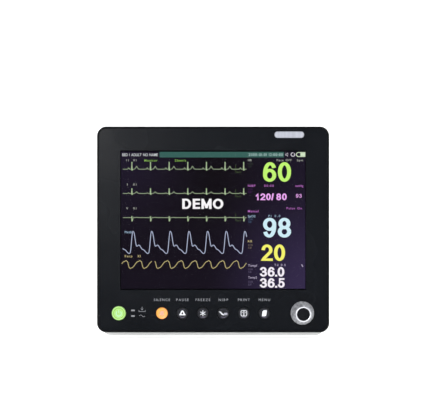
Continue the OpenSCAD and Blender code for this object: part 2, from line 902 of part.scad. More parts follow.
module paper_roll() {
    color([0.93, 0.93, 0.9]) difference() {
        rod_y(roll_x, roll_up, 19, 53, 103);
        rod_y(roll_x, roll_up, spindle_r + running_gap, 50, 106);
    }
}

module print_head() {
    color([0.2, 0.2, 0.22]) {
        block([126, 132], [50, 106], [206, 222]);
        block([recorder_in_x + tub_t, 126], [74, 82], [212, 218]);
    }
}

module recorder_latch() {
    color([0.3, 0.31, 0.33]) {
        block([housing_w / 2 - 7, housing_w / 2 + 0.5], latch_back, latch_up);
        block([housing_w / 2 - 6.3, housing_w / 2 - 5.1], wider(latch_back, 2), latch_up);
    }
}

// Sensor sockets on the left side

module sensor_outline(margin) {
    width = sensor_back[1] - sensor_back[0] + 2 * margin;
    height = sensor_up[1] - sensor_up[0] + 2 * margin;
    translate([fy(sensor_mid), fz((sensor_up[0] + sensor_up[1]) / 2)]) rounded_rect(width, height, 5);
}

module sensor_panel() {
    color([0.55, 0.57, 0.6]) difference() {
        side_slab(sensor_face_x, sensor_face_x + 2) sensor_outline(4);
        for (socket = sockets)
            rod_x(sensor_mid, fz(socket[0]), socket[1] + slip_gap, sensor_face_x - eps, sensor_face_x + 3);
    }
}

// Height above the panel's bottom edge and barrel radius of the sockets: ECG, SpO2, cuff, two temperature
ecg_up = 196;
spo2_up = 152;
temp_ups = [76, 52];
sockets = [[ecg_up, 11], [spo2_up, 9], [nibp_up, 6.5], [temp_ups[0], 5.5], [temp_ups[1], 5.5]];

// Round socket along X: barrel through the sensor panel, collar outside it and a blind bore
module socket_x(up, barrel_r, collar_r, bore_r, bore_l, proud) {
    difference() {
        union() {
            rod_x(sensor_mid, fz(up), barrel_r, sensor_face_x - 0.5, sensor_face_x + 15);
            rod_x(sensor_mid, fz(up), collar_r, sensor_face_x - proud, sensor_face_x);
        }
        rod_x(sensor_mid, fz(up), bore_r, sensor_face_x - proud - eps, sensor_face_x - proud + bore_l);
    }
}

module ecg_socket() {
    color([0.2, 0.35, 0.75]) {
        socket_x(ecg_up, 11, 13.5, 8, 12, 5);
    }
}

module spo2_socket() {
    color([0.2, 0.35, 0.75]) {
        socket_x(spo2_up, 9, 11.5, 6.5, 12, 5);
    }
}

module nibp_port() {
    color([0.75, 0.76, 0.78]) difference() {
        socket_x(nibp_up, 6.5, 9.5, 4.5, 12, 6);
        rod_x(sensor_mid, fz(nibp_up), 1.6, sensor_face_x, sensor_face_x + 16);
    }
}

module temp_sockets() {
    color([0.25, 0.26, 0.28]) for (up = temp_ups) socket_x(up, 5.5, 7.5, 3.2, 17, 4);
}

// Terminals in the back recess

terminal_mid_up = (terminal_up[0] + terminal_up[1]) / 2;
terminal_plate_back = terminal_floor + panel_sheet;
mains_x = 92;
mains_up = terminal_mid_up;
mains_w = 28;
mains_h = 21;
fuse_x = 62;
fuse_ups = [terminal_mid_up - 11, terminal_mid_up + 11];
fuse_r = 6;
ground_x = 38;
ground_stem_r = 4;
network_x = 8;
network_w = 16;
network_h = 14;
usb_x = -22;
usb_w = 14;
usb_h = 8;

module rear_panel() {
    hole_start = terminal_floor - eps;
    hole_end = terminal_plate_back + eps;
    color([0.72, 0.73, 0.74]) difference() {
        block(wider(terminal_x, -0.2), [terminal_floor, terminal_plate_back], wider(terminal_up, -0.2));
        bar_y(mains_x, mains_up, mains_w, mains_h, hole_start, hole_end);
        for (up = fuse_ups) rod_y(fuse_x, up, fuse_r + slip_gap, hole_start, hole_end);
        rod_y(ground_x, terminal_mid_up, ground_stem_r + slip_gap, hole_start, hole_end);
        bar_y(network_x, terminal_mid_up, network_w, network_h, hole_start, hole_end);
        bar_y(usb_x, terminal_mid_up, usb_w, usb_h, hole_start, hole_end);
    }
}

// Appliance inlet for a mains lead, with three blades
module mains_inlet() {
    cavity = terminal_plate_back + 2.5 - 16;
    color([0.1, 0.1, 0.11]) {
        difference() {
            union() {
                bar_y(mains_x, mains_up, mains_w, mains_h, cavity - 3, terminal_plate_back + 1);
                slab(terminal_plate_back, terminal_plate_back + 2.5) translate([mains_x, fz(mains_up)])
                    rounded_rect(44, 26, 4);
            }
            slab(cavity, terminal_plate_back + 3) translate([mains_x, fz(mains_up)])
                rounded_rect(24.5, 16.5, 3);
        }
        // Blades: the middle one, for the earth, stands higher
        for (i = [-1:1])
            bar_y(mains_x + 7 * i, mains_up + (i == 0 ? 3 : -1), 2, 4, cavity - 1, cavity + 10);
    }
}

module fuse_holders() {
    color([0.15, 0.15, 0.16]) for (up = fuse_ups) {
        rod_y(fuse_x, up, fuse_r, 118, terminal_plate_back + 1);
        rod_y(fuse_x, up, 8, terminal_plate_back, terminal_plate_back + 3);
        difference() {
            rod_y(fuse_x, up, 5.5, terminal_plate_back + 2, terminal_plate_back + 9);
            bar_y(fuse_x, up, 8, 1.2, terminal_plate_back + 8, terminal_plate_back + 10);
        }
    }
}

module ground_post() {
    color([0.8, 0.68, 0.35]) {
        rod_y(ground_x, terminal_mid_up, ground_stem_r, 120, terminal_plate_back + 1);
        slab(terminal_plate_back, terminal_plate_back + 2.5) translate([ground_x, fz(terminal_mid_up)])
            circle(r = 6.5, $fn = 6);
        rod_y(ground_x, terminal_mid_up, 3, terminal_plate_back + 2, back_reach);
    }
}

module data_sockets() {
    color([0.6, 0.61, 0.63]) {
        difference() {
            bar_y(network_x, terminal_mid_up, network_w, network_h, 114, terminal_plate_back + 1.5);
            bar_y(network_x, terminal_mid_up - 0.3, 11.8, 7.8, 119, terminal_plate_back + 2);
        }
        difference() {
            bar_y(usb_x, terminal_mid_up, usb_w, usb_h, 116, terminal_plate_back + 1.5);
            bar_y(usb_x, terminal_mid_up, 12.6, 5.2, 119, terminal_plate_back + 2);
        }
    }
}

module speaker() {
    rim_front = housing_back - wall - 2.2;
    color([0.2, 0.2, 0.21]) {
        rod_y(speaker_x, speaker_up, 26, rim_front, housing_back - wall);
        rod_y(speaker_x, speaker_up, 20, rim_front - 5, rim_front);
        rod_y(speaker_x, speaker_up, 12, rim_front - 13, rim_front - 5);
    }
}

front_bezel();
front_overlay();
display_window();
lcd_panel();
lcd_frame();
lcd_bracket();
inner_screws();
alarm_lens();
alarm_board();
indicator_light_pipes();
keypad_board();
key_switches();
power_key();
silence_key();
pause_key();
freeze_key();
nibp_key();
print_key();
menu_key();
encoder_body();
encoder_nut();
encoder_slider();
encoder_shaft();
knob_body();
knob_cap();
mid_frame();
seal_gasket();
rear_housing();
housing_screws();
carry_handle();
handle_pins();
feet();
mount_inserts();
chassis_plate();
main_board();
parameter_board();
power_supply();
nibp_pump();
nibp_tube();
battery_tray();
battery_pack();
battery_door();
recorder_bay();
recorder_door();
door_pins();
platen_roller();
paper_roll();
print_head();
recorder_latch();
sensor_panel();
ecg_socket();
spo2_socket();
nibp_port();
temp_sockets();
rear_panel();
mains_inlet();
fuse_holders();
ground_post();
data_sockets();
speaker();
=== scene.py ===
"""Looks of a bedside patient monitor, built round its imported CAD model. Metres, Z up, display facing -Y."""

import json
import math

import bpy
import bmesh
from mathutils import Matrix, Vector


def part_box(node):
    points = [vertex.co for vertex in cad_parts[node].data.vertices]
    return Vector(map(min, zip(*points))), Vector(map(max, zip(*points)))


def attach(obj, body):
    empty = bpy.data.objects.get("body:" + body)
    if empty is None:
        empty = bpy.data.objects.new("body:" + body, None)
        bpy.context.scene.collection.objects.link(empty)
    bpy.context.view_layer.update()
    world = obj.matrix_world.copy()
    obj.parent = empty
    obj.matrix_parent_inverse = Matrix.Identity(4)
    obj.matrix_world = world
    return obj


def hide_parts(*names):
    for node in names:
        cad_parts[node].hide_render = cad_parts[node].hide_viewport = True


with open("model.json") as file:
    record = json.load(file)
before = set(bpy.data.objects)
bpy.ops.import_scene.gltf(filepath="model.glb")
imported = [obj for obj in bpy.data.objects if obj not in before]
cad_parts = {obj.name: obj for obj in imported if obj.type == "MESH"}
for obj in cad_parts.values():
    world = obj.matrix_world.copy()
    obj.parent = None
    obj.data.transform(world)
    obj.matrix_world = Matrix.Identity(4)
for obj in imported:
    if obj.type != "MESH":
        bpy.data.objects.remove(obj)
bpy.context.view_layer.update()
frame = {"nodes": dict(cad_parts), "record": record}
NODES = frame["nodes"]
MM = 0.001

BEZEL_LOW, BEZEL_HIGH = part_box("front_bezel")
FACE_Y = BEZEL_LOW.y
PANEL_Z = BEZEL_LOW.z
PANEL_MID_Z = (BEZEL_LOW.z + BEZEL_HIGH.z) / 2

# Lit area of the display, in mm
LIT_W = 246.0
LIT_H = 182.8


def placed(name, data):
    """A new object in the scene."""
    thing = bpy.data.objects.new(name, data)
    bpy.context.scene.collection.objects.link(thing)
    return thing


# ---- camera

CAMERA_DISTANCE = 1.5
CAMERA_RISE = 0.0392
VIEW_WIDTH = 0.568

cam_data = bpy.data.cameras.new("camera")
cam_data.sensor_width = 36.0
cam_data.lens = cam_data.sensor_width * CAMERA_DISTANCE / VIEW_WIDTH
camera = placed("camera", cam_data)
camera.location = (0.0005, FACE_Y - CAMERA_DISTANCE, PANEL_MID_Z + CAMERA_RISE)
camera.rotation_euler = (math.radians(90), 0, 0)
bpy.context.scene.camera = camera


# ---- materials


def srgb(r, g, b):
    """A screen colour, 0 to 255, as the linear colour that the shaders take."""
    linear = []
    for channel in (r, g, b):
        c = channel / 255
        linear.append(c / 12.92 if c <= 0.04045 else ((c + 0.055) / 1.055) ** 2.4)
    return (*linear, 1.0)


def principled(mat):
    return mat.node_tree.nodes["Principled BSDF"]


def material(name, colour, roughness, metallic=0.0, **sockets):
    """A Principled material. Extra sockets are named with underscores, such as coat_weight=0.4."""
    mat = bpy.data.materials.new(name)
    mat.use_nodes = True
    shader = principled(mat)
    shader.inputs["Base Color"].default_value = colour if len(colour) == 4 else (*colour, 1.0)
    shader.inputs["Roughness"].default_value = roughness
    shader.inputs["Metallic"].default_value = metallic
    for key, value in sockets.items():
        shader.inputs[key.replace("_", " ").title().replace("Ior", "IOR")].default_value = value
    return mat


def noise(mat, scale, detail=3.0, stretch=(1, 1, 1)):
    """A noise over the piece's own coordinates, in features per metre."""
    nt = mat.node_tree
    coords = nt.nodes.new("ShaderNodeTexCoord")
    mapping = nt.nodes.new("ShaderNodeMapping")
    mapping.inputs["Scale"].default_value = stretch
    tex = nt.nodes.new("ShaderNodeTexNoise")
    tex.inputs["Scale"].default_value = scale
    tex.inputs["Detail"].default_value = detail
    nt.links.new(coords.outputs["Object"], mapping.inputs["Vector"])
    nt.links.new(mapping.outputs["Vector"], tex.inputs["Vector"])
    return tex.outputs["Fac"]


def span(mat, source, low, high, start=0.3, end=0.7):
    """Stretches a value from start..end to low..high."""
    nt = mat.node_tree
    node = nt.nodes.new("ShaderNodeMapRange")
    node.inputs["From Min"].default_value = start
    node.inputs["From Max"].default_value = end
    node.inputs["To Min"].default_value = low
    node.inputs["To Max"].default_value = high
    nt.links.new(source, node.inputs["Value"])
    return node.outputs["Result"]


def vary_roughness(mat, source, low, high):
    mat.node_tree.links.new(span(mat, source, low, high), principled(mat).inputs["Roughness"])


def vary_colour(mat, source, dark, light):
    nt = mat.node_tree
    ramp = nt.nodes.new("ShaderNodeValToRGB")
    ramp.color_ramp.elements[0].position = 0.3
    ramp.color_ramp.elements[1].position = 0.7
    ramp.color_ramp.elements[0].color = dark if len(dark) == 4 else (*dark, 1.0)
    ramp.color_ramp.elements[1].color = light if len(light) == 4 else (*light, 1.0)
    nt.links.new(source, ramp.inputs["Fac"])
    nt.links.new(ramp.outputs["Color"], principled(mat).inputs["Base Color"])


def bump(mat, source, depth, strength=0.5):
    """Bump of a depth in metres."""
    nt = mat.node_tree
    node = nt.nodes.new("ShaderNodeBump")
    node.inputs["Strength"].default_value = strength
    node.inputs["Distance"].default_value = depth
    nt.links.new(source, node.inputs["Height"])
    nt.links.new(node.outputs["Normal"], principled(mat).inputs["Normal"])


def moulded(name, dark, light, roughness, grain=900, depth=0.00008):
    """Moulded plastic: a fine spark-eroded grain, and a slow change of shade and gloss."""
    mat = material(name, light, roughness)
    broad = noise(mat, 14, 2)
    fine = noise(mat, grain, 4)
    vary_colour(mat, broad, dark, light)
    vary_roughness(mat, broad, roughness - 0.05, roughness + 0.06)
    bump(mat, fine, depth)
    return mat


def metal(name, dark, light, roughness, stretch=(1, 1, 1), grain=500, depth=0.00003, metallic=1.0):
    """Metal with brushing or blasting: stretch draws the grain out along an axis."""
    mat = material(name, light, roughness, metallic)
    grit = noise(mat, grain, 5, stretch)
    vary_colour(mat, grit, dark, light)
    vary_roughness(mat, grit, roughness - 0.06, roughness + 0.1)
    bump(mat, grit, depth, 0.4)
    return mat


def give_light(mat, colour, strength):
    shader = principled(mat)
    shader.inputs["Emission Color"].default_value = colour
    shader.inputs["Emission Strength"].default_value = strength


def glow(name, colour, strength=1.0):
    """A lit part of the display: nearly black and slightly uneven, with its own light."""
    mat = material(name, (0.002, 0.002, 0.0025), 0.6, specular_ior_level=0.0)
    vary_colour(mat, noise(mat, 60, 2), (0.0, 0.0, 0.0), (0.004, 0.004, 0.005))
    give_light(mat, colour, strength)
    return mat


def circuit_board():
    """Green solder mask with the faint lines of its tracks."""
    mat = material("circuit_board", (0.02, 0.16, 0.07), 0.35, coat_weight=0.3)
    tracks = noise(mat, 260, 1, (1, 1, 4))
    vary_colour(mat, tracks, (0.008, 0.09, 0.035), (0.02, 0.2, 0.08))
    bump(mat, tracks, 0.00003)
    return mat


def window_glass():
    """Clear window with an anti-glare surface, very slightly uneven."""
    mat = material("clear_acrylic", (0.01, 0.01, 0.012), 0.5, alpha=0.04, specular_ior_level=0.0)
    vary_colour(mat, noise(mat, 14, 2), (0.007, 0.007, 0.009), (0.013, 0.013, 0.016))
    return mat


# Moulded plastics: darkest and lightest shade, roughness, grain per metre, and its depth in metres
PLASTICS = {
    "black_plastic": ((0.0016, 0.0018, 0.0022), (0.0022, 0.0024, 0.003), 0.4),
    "panel_film": ((0.0012, 0.0019, 0.0034), (0.0018, 0.0026, 0.0044), 0.24, 300, 0.00001),
    "housing_plastic": ((0.57, 0.58, 0.575), (0.63, 0.635, 0.628), 0.5),
    "grey_plastic": ((0.1, 0.105, 0.115), (0.135, 0.14, 0.15), 0.48),
    "dark_plastic": ((0.012, 0.012, 0.014), (0.022, 0.022, 0.025), 0.45),
    "blue_plastic": ((0.02, 0.07, 0.24), (0.03, 0.1, 0.32), 0.4),
    "sensor_grey": ((0.15, 0.16, 0.175), (0.19, 0.2, 0.215), 0.48),
    "rubber": ((0.01, 0.01, 0.01), (0.02, 0.02, 0.02), 0.75, 500, 0.00012),
    "silicone": ((0.55, 0.55, 0.5), (0.7, 0.7, 0.66), 0.5),
    "battery_wrap": ((0.03, 0.04, 0.08), (0.05, 0.06, 0.11), 0.25, 200),
    "paper": ((0.78, 0.78, 0.74), (0.86, 0.86, 0.82), 0.8, 1500),
    "black_key": ((0.006, 0.0065, 0.008), (0.009, 0.0098, 0.012), 0.32, 700),
    "light_pipe": ((0.17, 0.175, 0.19), (0.23, 0.235, 0.25), 0.3, 500, 0.00002),
}
# Metals: darkest and lightest shade, roughness, stretch of the grain, grain per metre, its depth, metallic
METALS = {
    "steel": ((0.42, 0.43, 0.45), (0.6, 0.61, 0.63), 0.38, (1, 1, 0.05)),
    "screw_steel": ((0.5, 0.5, 0.52), (0.68, 0.68, 0.7), 0.28),
    "aluminium": ((0.55, 0.56, 0.58), (0.72, 0.73, 0.75), 0.3, (0.1, 1, 1)),
    "brass": ((0.58, 0.42, 0.16), (0.78, 0.6, 0.28), 0.28),
    "knob_metal": ((0.2, 0.205, 0.225), (0.6, 0.61, 0.64), 0.5, (1, 0.4, 1), 330, 0.0003, 0.45),
}
MATERIALS = {name: moulded(name, *look) for name, look in PLASTICS.items()}
MATERIALS |= {name: metal(name, *look) for name, look in METALS.items()}
MATERIALS["circuit_board"] = circuit_board()
MATERIALS["clear_acrylic"] = window_glass()


def key_plastic(name, edge, middle, strength):
    """Translucent key lit evenly from behind: its colour varies at random between an edge colour and a middle
    colour.
    """
    mat = material(name, edge, 0.32, coat_weight=0.2, coat_roughness=0.12)
    shade = noise(mat, 180, 2)
    vary_colour(mat, shade, edge, middle)
    give_light(mat, middle, strength)
    return mat


MATERIALS["green_key"] = key_plastic("green_key", srgb(138, 180, 92), srgb(146, 188, 108), 0.2)
MATERIALS["orange_key"] = key_plastic("orange_key", srgb(214, 138, 60), srgb(232, 144, 68), 0.22)


def alarm_material():
    """Frosted lens with the faint vertical prisms of a light guide."""
    mat = material("alarm_plastic", srgb(146, 149, 158), 0.35, coat_weight=0.2, coat_roughness=0.15)
    ribs = noise(mat, 60, 1, (5, 1, 0.3))
    vary_colour(mat, ribs, srgb(140, 143, 152), srgb(152, 154, 165))
    bump(mat, ribs, 0.00006, 0.3)
    return mat


MATERIALS["alarm_plastic"] = alarm_material()


def display_material():
    """The dark display: nearly black, with a violet glow that grows towards the lower right."""
    mat = material("display", (0.0015, 0.0015, 0.002), 0.6, specular_ior_level=0.0)
    nt = mat.node_tree
    low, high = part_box("lcd_panel")
    coords = nt.nodes.new("ShaderNodeTexCoord")
    split = nt.nodes.new("ShaderNodeSeparateXYZ")
    nt.links.new(coords.outputs["Object"], split.inputs["Vector"])

    def across(socket, start, end):
        node = nt.nodes.new("ShaderNodeMapRange")
        node.interpolation_type = "SMOOTHSTEP"
        node.inputs["From Min"].default_value = start
        node.inputs["From Max"].default_value = end
        nt.links.new(socket, node.inputs["Value"])
        return node.outputs["Result"]

    def mix(a, b, operation):
        node = nt.nodes.new("ShaderNodeMath")
        node.operation = operation
        for i, value in enumerate((a, b)):
            if isinstance(value, float):
                node.inputs[i].default_value = value
            else:
                nt.links.new(value, node.inputs[i])
        return node.outputs["Value"]

    right = across(split.outputs["X"], low.x * 0.1, high.x * 0.98)
    down = across(split.outputs["Z"], high.z - 0.04, low.z)
    left = across(split.outputs["X"], high.x * 0.1, low.x)
    top = across(split.outputs["Z"], low.z + 0.04, high.z)
    low_right = mix(mix(right, 0.22, "MULTIPLY"), mix(mix(right, down, "MULTIPLY"), 0.7, "MULTIPLY"), "ADD")
    low_middle = mix(mix(down, 0.1, "MULTIPLY"), mix(mix(left, top, "MULTIPLY"), 0.3, "MULTIPLY"), "ADD")
    amount = mix(low_right, low_middle, "ADD")
    ramp = nt.nodes.new("ShaderNodeValToRGB")
    ramp.color_ramp.elements[0].color = srgb(14, 9, 13)
    ramp.color_ramp.elements[1].color = srgb(54, 44, 76)
    nt.links.new(amount, ramp.inputs["Fac"])
    shader = principled(mat)
    nt.links.new(ramp.outputs["Color"], shader.inputs["Emission Color"])

    def within(socket, middle, half):
        node = nt.nodes.new("ShaderNodeMath")
        node.operation = "COMPARE"
        nt.links.new(socket, node.inputs[0])
        node.inputs[1].default_value = middle
        node.inputs[2].default_value = half
        return node.outputs["Value"]

    glass_low, glass_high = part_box("display_window")
    lit_across = within(split.outputs["X"], 0.0, LIT_W / 2 * MM)
    lit_up = within(split.outputs["Z"], (glass_low.z + glass_high.z) / 2, LIT_H / 2 * MM)
    nt.links.new(mix(lit_across, lit_up, "MULTIPLY"), shader.inputs["Emission Strength"])
    return mat


MATERIALS["display"] = display_material()


def dull(mat, level):
    """Weaker reflections, as on an anti-glare surface."""
    principled(mat).inputs["Specular IOR Level"].default_value = level


dull(MATERIALS["black_plastic"], 0.07)
dull(MATERIALS["panel_film"], 0.07)
dull(MATERIALS["black_key"], 0.16)

SLOT_OF = {s["node"]: s["material_slot"] for s in frame["record"]["subparts"]}
for node_name, node_object in NODES.items():
    node_object.data.materials.clear()
    node_object.data.materials.append(MATERIALS[SLOT_OF[node_name]])


# ---- mesh helpers


def at(x, depth, up):
    """A point from millimetres: across, behind the panel's face, and above the panel's bottom edge."""
    return Vector((x * MM, FACE_Y + depth * MM, PANEL_Z + up * MM))


class Face:
    """A side of the object to draw on, in mm: u runs to the viewer's right, v is up, and depth goes in."""

    def __init__(self, origin, right, inward):
        self.origin = Vector(origin)
        self.right = Vector(right)
        self.inward = Vector(inward)
        self.up = Vector((0, 0, 1))

    def point(self, u, v, depth):
        return self.origin + (self.right * u + self.up * v + self.inward * depth) * MM

    def matrix(self, depth):
        """Turns a drawing in the XY plane so that it lies on this side at a depth."""
        turn = Matrix((self.right, self.up, -self.inward)).transposed().to_4x4()
        return Matrix.Translation(self.point(0, 0, depth)) @ turn


FRONT = Face((0, FACE_Y, PANEL_Z), (1, 0, 0), (0, 1, 0))
HOUSING_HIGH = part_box("rear_housing")[1]
RIGHT = Face((HOUSING_HIGH.x, FACE_Y, PANEL_Z), (0, 1, 0), (-1, 0, 0))
BACK = Face((0, HOUSING_HIGH.y, PANEL_Z), (-1, 0, 0), (0, -1, 0))


def finish_piece(name, mesh, mat, body, replaced=()):
    piece = placed(name, mesh)
    mesh.materials.clear()
    mesh.materials.append(mat)
    mesh.shade_smooth()
    mesh.set_sharp_from_angle(angle=math.radians(32))
    flat = piece.modifiers.new("flat_faces", "WEIGHTED_NORMAL")
    flat.keep_sharp = True
    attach(piece, body)
    if replaced:
        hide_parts(*replaced)
    return piece


def plain_piece(name, mesh, slot, body="monitor", replaced=()):
    """A piece in its slot's own material."""
    return finish_piece(name, mesh, MATERIALS[slot], body, replaced)


def mesh_of(bm):
    """The mesh of a bmesh, which is then freed."""
    mesh = bpy.data.meshes.new("made")
    bm.to_mesh(mesh)
    bm.free()
    return mesh


def mesh_of_curve(curve):
    """The solid mesh of a filled curve or a text, which is then removed."""
    holder = placed(curve.name, curve)
    bpy.context.view_layer.update()
    graph = bpy.context.evaluated_depsgraph_get()
    mesh = bpy.data.meshes.new_from_object(holder.evaluated_get(graph))
    bpy.data.objects.remove(holder)
    bpy.data.curves.remove(curve)
    return mesh


def rounded_loop(x, z, w, h, r, steps=10):
    """Rounded rectangle as points (x, z), in millimetres."""
    loop = []
    corners = ((1, 1, 0), (-1, 1, 90), (-1, -1, 180), (1, -1, 270))
    for sx, sz, start in corners:
        for i in range(steps + 1):
            a = math.radians(start + 90 * i / steps)
            loop.append((x + sx * (w / 2 - r) + r * math.cos(a), z + sz * (h / 2 - r) + r * math.sin(a)))
    return loop


def circle_loop(x, z, r, steps=56):
    angles = [math.tau * i / steps for i in range(steps)]
    return [(x + r * math.cos(a), z + r * math.sin(a)) for a in angles]


def plate_mesh(loops, front, back, edge, face=FRONT):
    """A flat plate with rounded edges, from closed loops in mm: its outline, and then its holes."""
    curve = bpy.data.curves.new("plate", "CURVE")
    curve.dimensions = "2D"
    curve.fill_mode = "BOTH"
    curve.extrude = ((back - front) / 2 - edge) * MM
    curve.bevel_depth = edge * MM
    curve.bevel_resolution = 2
    curve.offset = -edge * MM
    for loop in loops:
        spline = curve.splines.new("POLY")
        spline.points.add(len(loop) - 1)
        for point, (x, z) in zip(spline.points, loop):
            point.co = (x * MM, z * MM, 0, 1)
        spline.use_cyclic_u = True
    mesh = mesh_of_curve(curve)
    mesh.transform(face.matrix((front + back) / 2))
    return welded(mesh)


def welded(mesh):
    bm = bmesh.new()
    bm.from_mesh(mesh)
    bmesh.ops.remove_doubles(bm, verts=bm.verts, dist=1e-6)
    bmesh.ops.recalc_face_normals(bm, faces=bm.faces)
    bm.to_mesh(mesh)
    bm.free()
    return mesh


def joined(meshes):
    """One mesh from several."""
    bm = bmesh.new()
    for mesh in meshes:
        bm.from_mesh(mesh)
        bpy.data.meshes.remove(mesh)
    return mesh_of(bm)


AXES = {
    "Y": lambda centre, r, along, a: centre + Vector((r * math.cos(a), along, r * math.sin(a))),
    "X": lambda centre, r, along, a: centre + Vector((along, r * math.cos(a), r * math.sin(a))),
    "Z": lambda centre, r, along, a: centre + Vector((r * math.cos(a), r * math.sin(a), along)),
}


def lathe_mesh(profile, centre, axis="Y", steps=72, ripple=None):
    """Turns a profile of (radius, distance along the axis), in mm. Ripple changes a radius with the angle."""
    place = AXES[axis]
    bm = bmesh.new()
    rows = []
    for r, along in profile:
        if r < 1e-6:
            rows.append([bm.verts.new(place(centre, 0, along * MM, 0))])
            continue
        row = []
        for i in range(steps):
            a = math.tau * i / steps
            radius = r * ripple(a, along) if ripple else r
            row.append(bm.verts.new(place(centre, radius * MM, along * MM, a)))
        rows.append(row)
    for upper, lower in zip(rows, rows[1:]):
        for i in range(steps):
            j = (i + 1) % steps
            corners = [ring[k % len(ring)] for ring, k in ((upper, i), (upper, j), (lower, j), (lower, i))]
            unique = list(dict.fromkeys(corners))
            if len(unique) > 2:
                bm.faces.new(unique)
    bmesh.ops.recalc_face_normals(bm, faces=bm.faces)
    return mesh_of(bm)


def ribbon_mesh(points, width, front, thick=0.04, face=FRONT):
    """A flat line of a width along points (x, z), in mm, with mitred joints and a small thickness."""
    bm = bmesh.new()
    sides = []
    for i, (x, z) in enumerate(points):
        ahead = Vector(points[min(i + 1, len(points) - 1)]) - Vector((x, z))
        behind = Vector((x, z)) - Vector(points[max(i - 1, 0)])
        ahead = ahead.normalized() if ahead.length > 0 else behind.normalized()
        behind = behind.normalized() if behind.length > 0 else ahead
        along = (ahead + behind).normalized() if (ahead + behind).length > 1e-6 else ahead
        out = Vector((-along.y, along.x))
        stretch = min(1 / max(out.dot(Vector((-ahead.y, ahead.x))), 0.3), 1.6)
        offset = out * width / 2 * stretch
        sides.append([bm.verts.new(face.point(x + s * offset.x, z + s * offset.y, front)) for s in (-1, 1)])
    for a, b in zip(sides, sides[1:]):
        bm.faces.new((a[0], b[0], b[1], a[1]))
    made = bmesh.ops.extrude_face_region(bm, geom=bm.faces[:])
    moved = [e for e in made["geom"] if isinstance(e, bmesh.types.BMVert)]
    bmesh.ops.translate(bm, verts=moved, vec=face.inward * thick * MM)
    bmesh.ops.recalc_face_normals(bm, faces=bm.faces)
    return mesh_of(bm)


def natural_text(words, weight):
    """Flat solid letters in the font's own units, as a mesh in the XY plane."""
    curve = bpy.data.curves.new("words", "FONT")
    curve.body = words
    curve.offset = weight
    curve.extrude = 0.01
    curve.resolution_u = 6
    return mesh_of_curve(curve)


def extent(mesh, axis):
    values = [v.co[axis] for v in mesh.vertices]
    return min(values), max(values)


# A space between words and the least gap between letters, in the font's units
SPACE_WIDTH = 0.35
LEAST_GAP = 0.08


def spaced_text(words, box, front, weight=0.0, thick=0.04, face=FRONT):
    """Words whose letters keep their shape, spread evenly over a box (left, bottom, right, top), in mm."""
    left, bottom, right, top = box
    cap = natural_text("H", weight)
    base, crown = extent(cap, 1)
    bpy.data.meshes.remove(cap)
    scale = (top - bottom) / (crown - base)
    letters = [None if letter == " " else natural_text(letter, weight) for letter in words]
    widths = []
    for mesh in letters:
        low, high = (0, SPACE_WIDTH) if mesh is None else extent(mesh, 0)
        widths.append(high - low)
    gap = ((right - left) / scale - sum(widths)) / max(len(words) - 1, 1)
    squeeze = 1.0
    if gap < LEAST_GAP:
        squeeze = (right - left) / scale / (sum(widths) + LEAST_GAP * (len(words) - 1))
        gap = LEAST_GAP * squeeze
    start = 0.0
    parts = []
    for mesh, width in zip(letters, widths):
        if mesh is not None:
            low = extent(mesh, 0)[0]
            for v in mesh.vertices:
                x = left + (start + (v.co.x - low) * squeeze) * scale
                z = bottom + (v.co.y - base) * scale
                v.co = face.point(x, z, front + (thick if v.co.z < 0 else 0))
            parts.append(mesh)
        start += width * squeeze + gap
    return welded(joined(parts))


def arc(cx, cz, rx, start, end, rz=None, steps=20):
    """Part of a circle or an ellipse, from one angle to another."""
    angles = [math.radians(start + (end - start) * i / steps) for i in range(steps + 1)]
    return [(cx + rx * math.cos(a), cz + (rz or rx) * math.sin(a)) for a in angles]


# Bold letters and figures as lines in a box from (0, 0) to (1, 1)
OVAL = arc(0.5, 0.5, 0.5, 0, 360, 0.5, 48)
BLOCK_LETTERS = {
    "0": [OVAL],
    "1": [[(0.62, 0), (0.62, 1), (0.1, 0.68)]],
    "2": [arc(0.49, 0.7, 0.47, 165, -32, 0.3, 28) + [(0.12, 0.1), (0.0, 0.0), (1, 0)]],
    "3": [arc(0.45, 0.75, 0.44, 160, -90, 0.25, 28), arc(0.48, 0.26, 0.5, 90, -162, 0.26, 28)],
    "5": [[(0.92, 1), (0.2, 1), (0.08, 0.46)] + arc(0.47, 0.32, 0.5, 128, -160, 0.32, 28)],
    "6": [
        arc(0.5, 0.3, 0.5, 0, 360, 0.3, 40),
        arc(0.53, 0.75, 0.42, 20, 90, 0.25, 8) + arc(0.53, 0.4, 0.53, 90, 190, 0.6, 16),
    ],
    "8": [arc(0.5, 0.75, 0.43, 0, 360, 0.25, 36), arc(0.5, 0.26, 0.5, 0, 360, 0.26, 40)],
    "9": [
        arc(0.5, 0.7, 0.5, 0, 360, 0.3, 40),
        arc(0.47, 0.25, 0.42, 200, 270, 0.25, 8) + arc(0.47, 0.6, 0.53, 270, 370, 0.6, 16),
    ],
    "/": [[(0.12, 0), (0.88, 1)]],
    ".": [[(0.5, 0.0), (0.5, 0.02)]],
    "D": [[(0, 0), (0, 1), (0.42, 1)] + arc(0.42, 0.5, 0.58, 90, -90, 0.5, 24) + [(0, 0), (0, 0.1)]],
    "E": [[(1, 1), (0, 1), (0, 0), (1, 0)], [(0, 0.52), (0.92, 0.52)]],
    "M": [[(0, 0), (0, 1)], [(0.05, 0.92), (0.5, 0.1)], [(0.5, 0.1), (0.95, 0.92)], [(1, 1), (1, 0)]],
    "O": [OVAL],
}


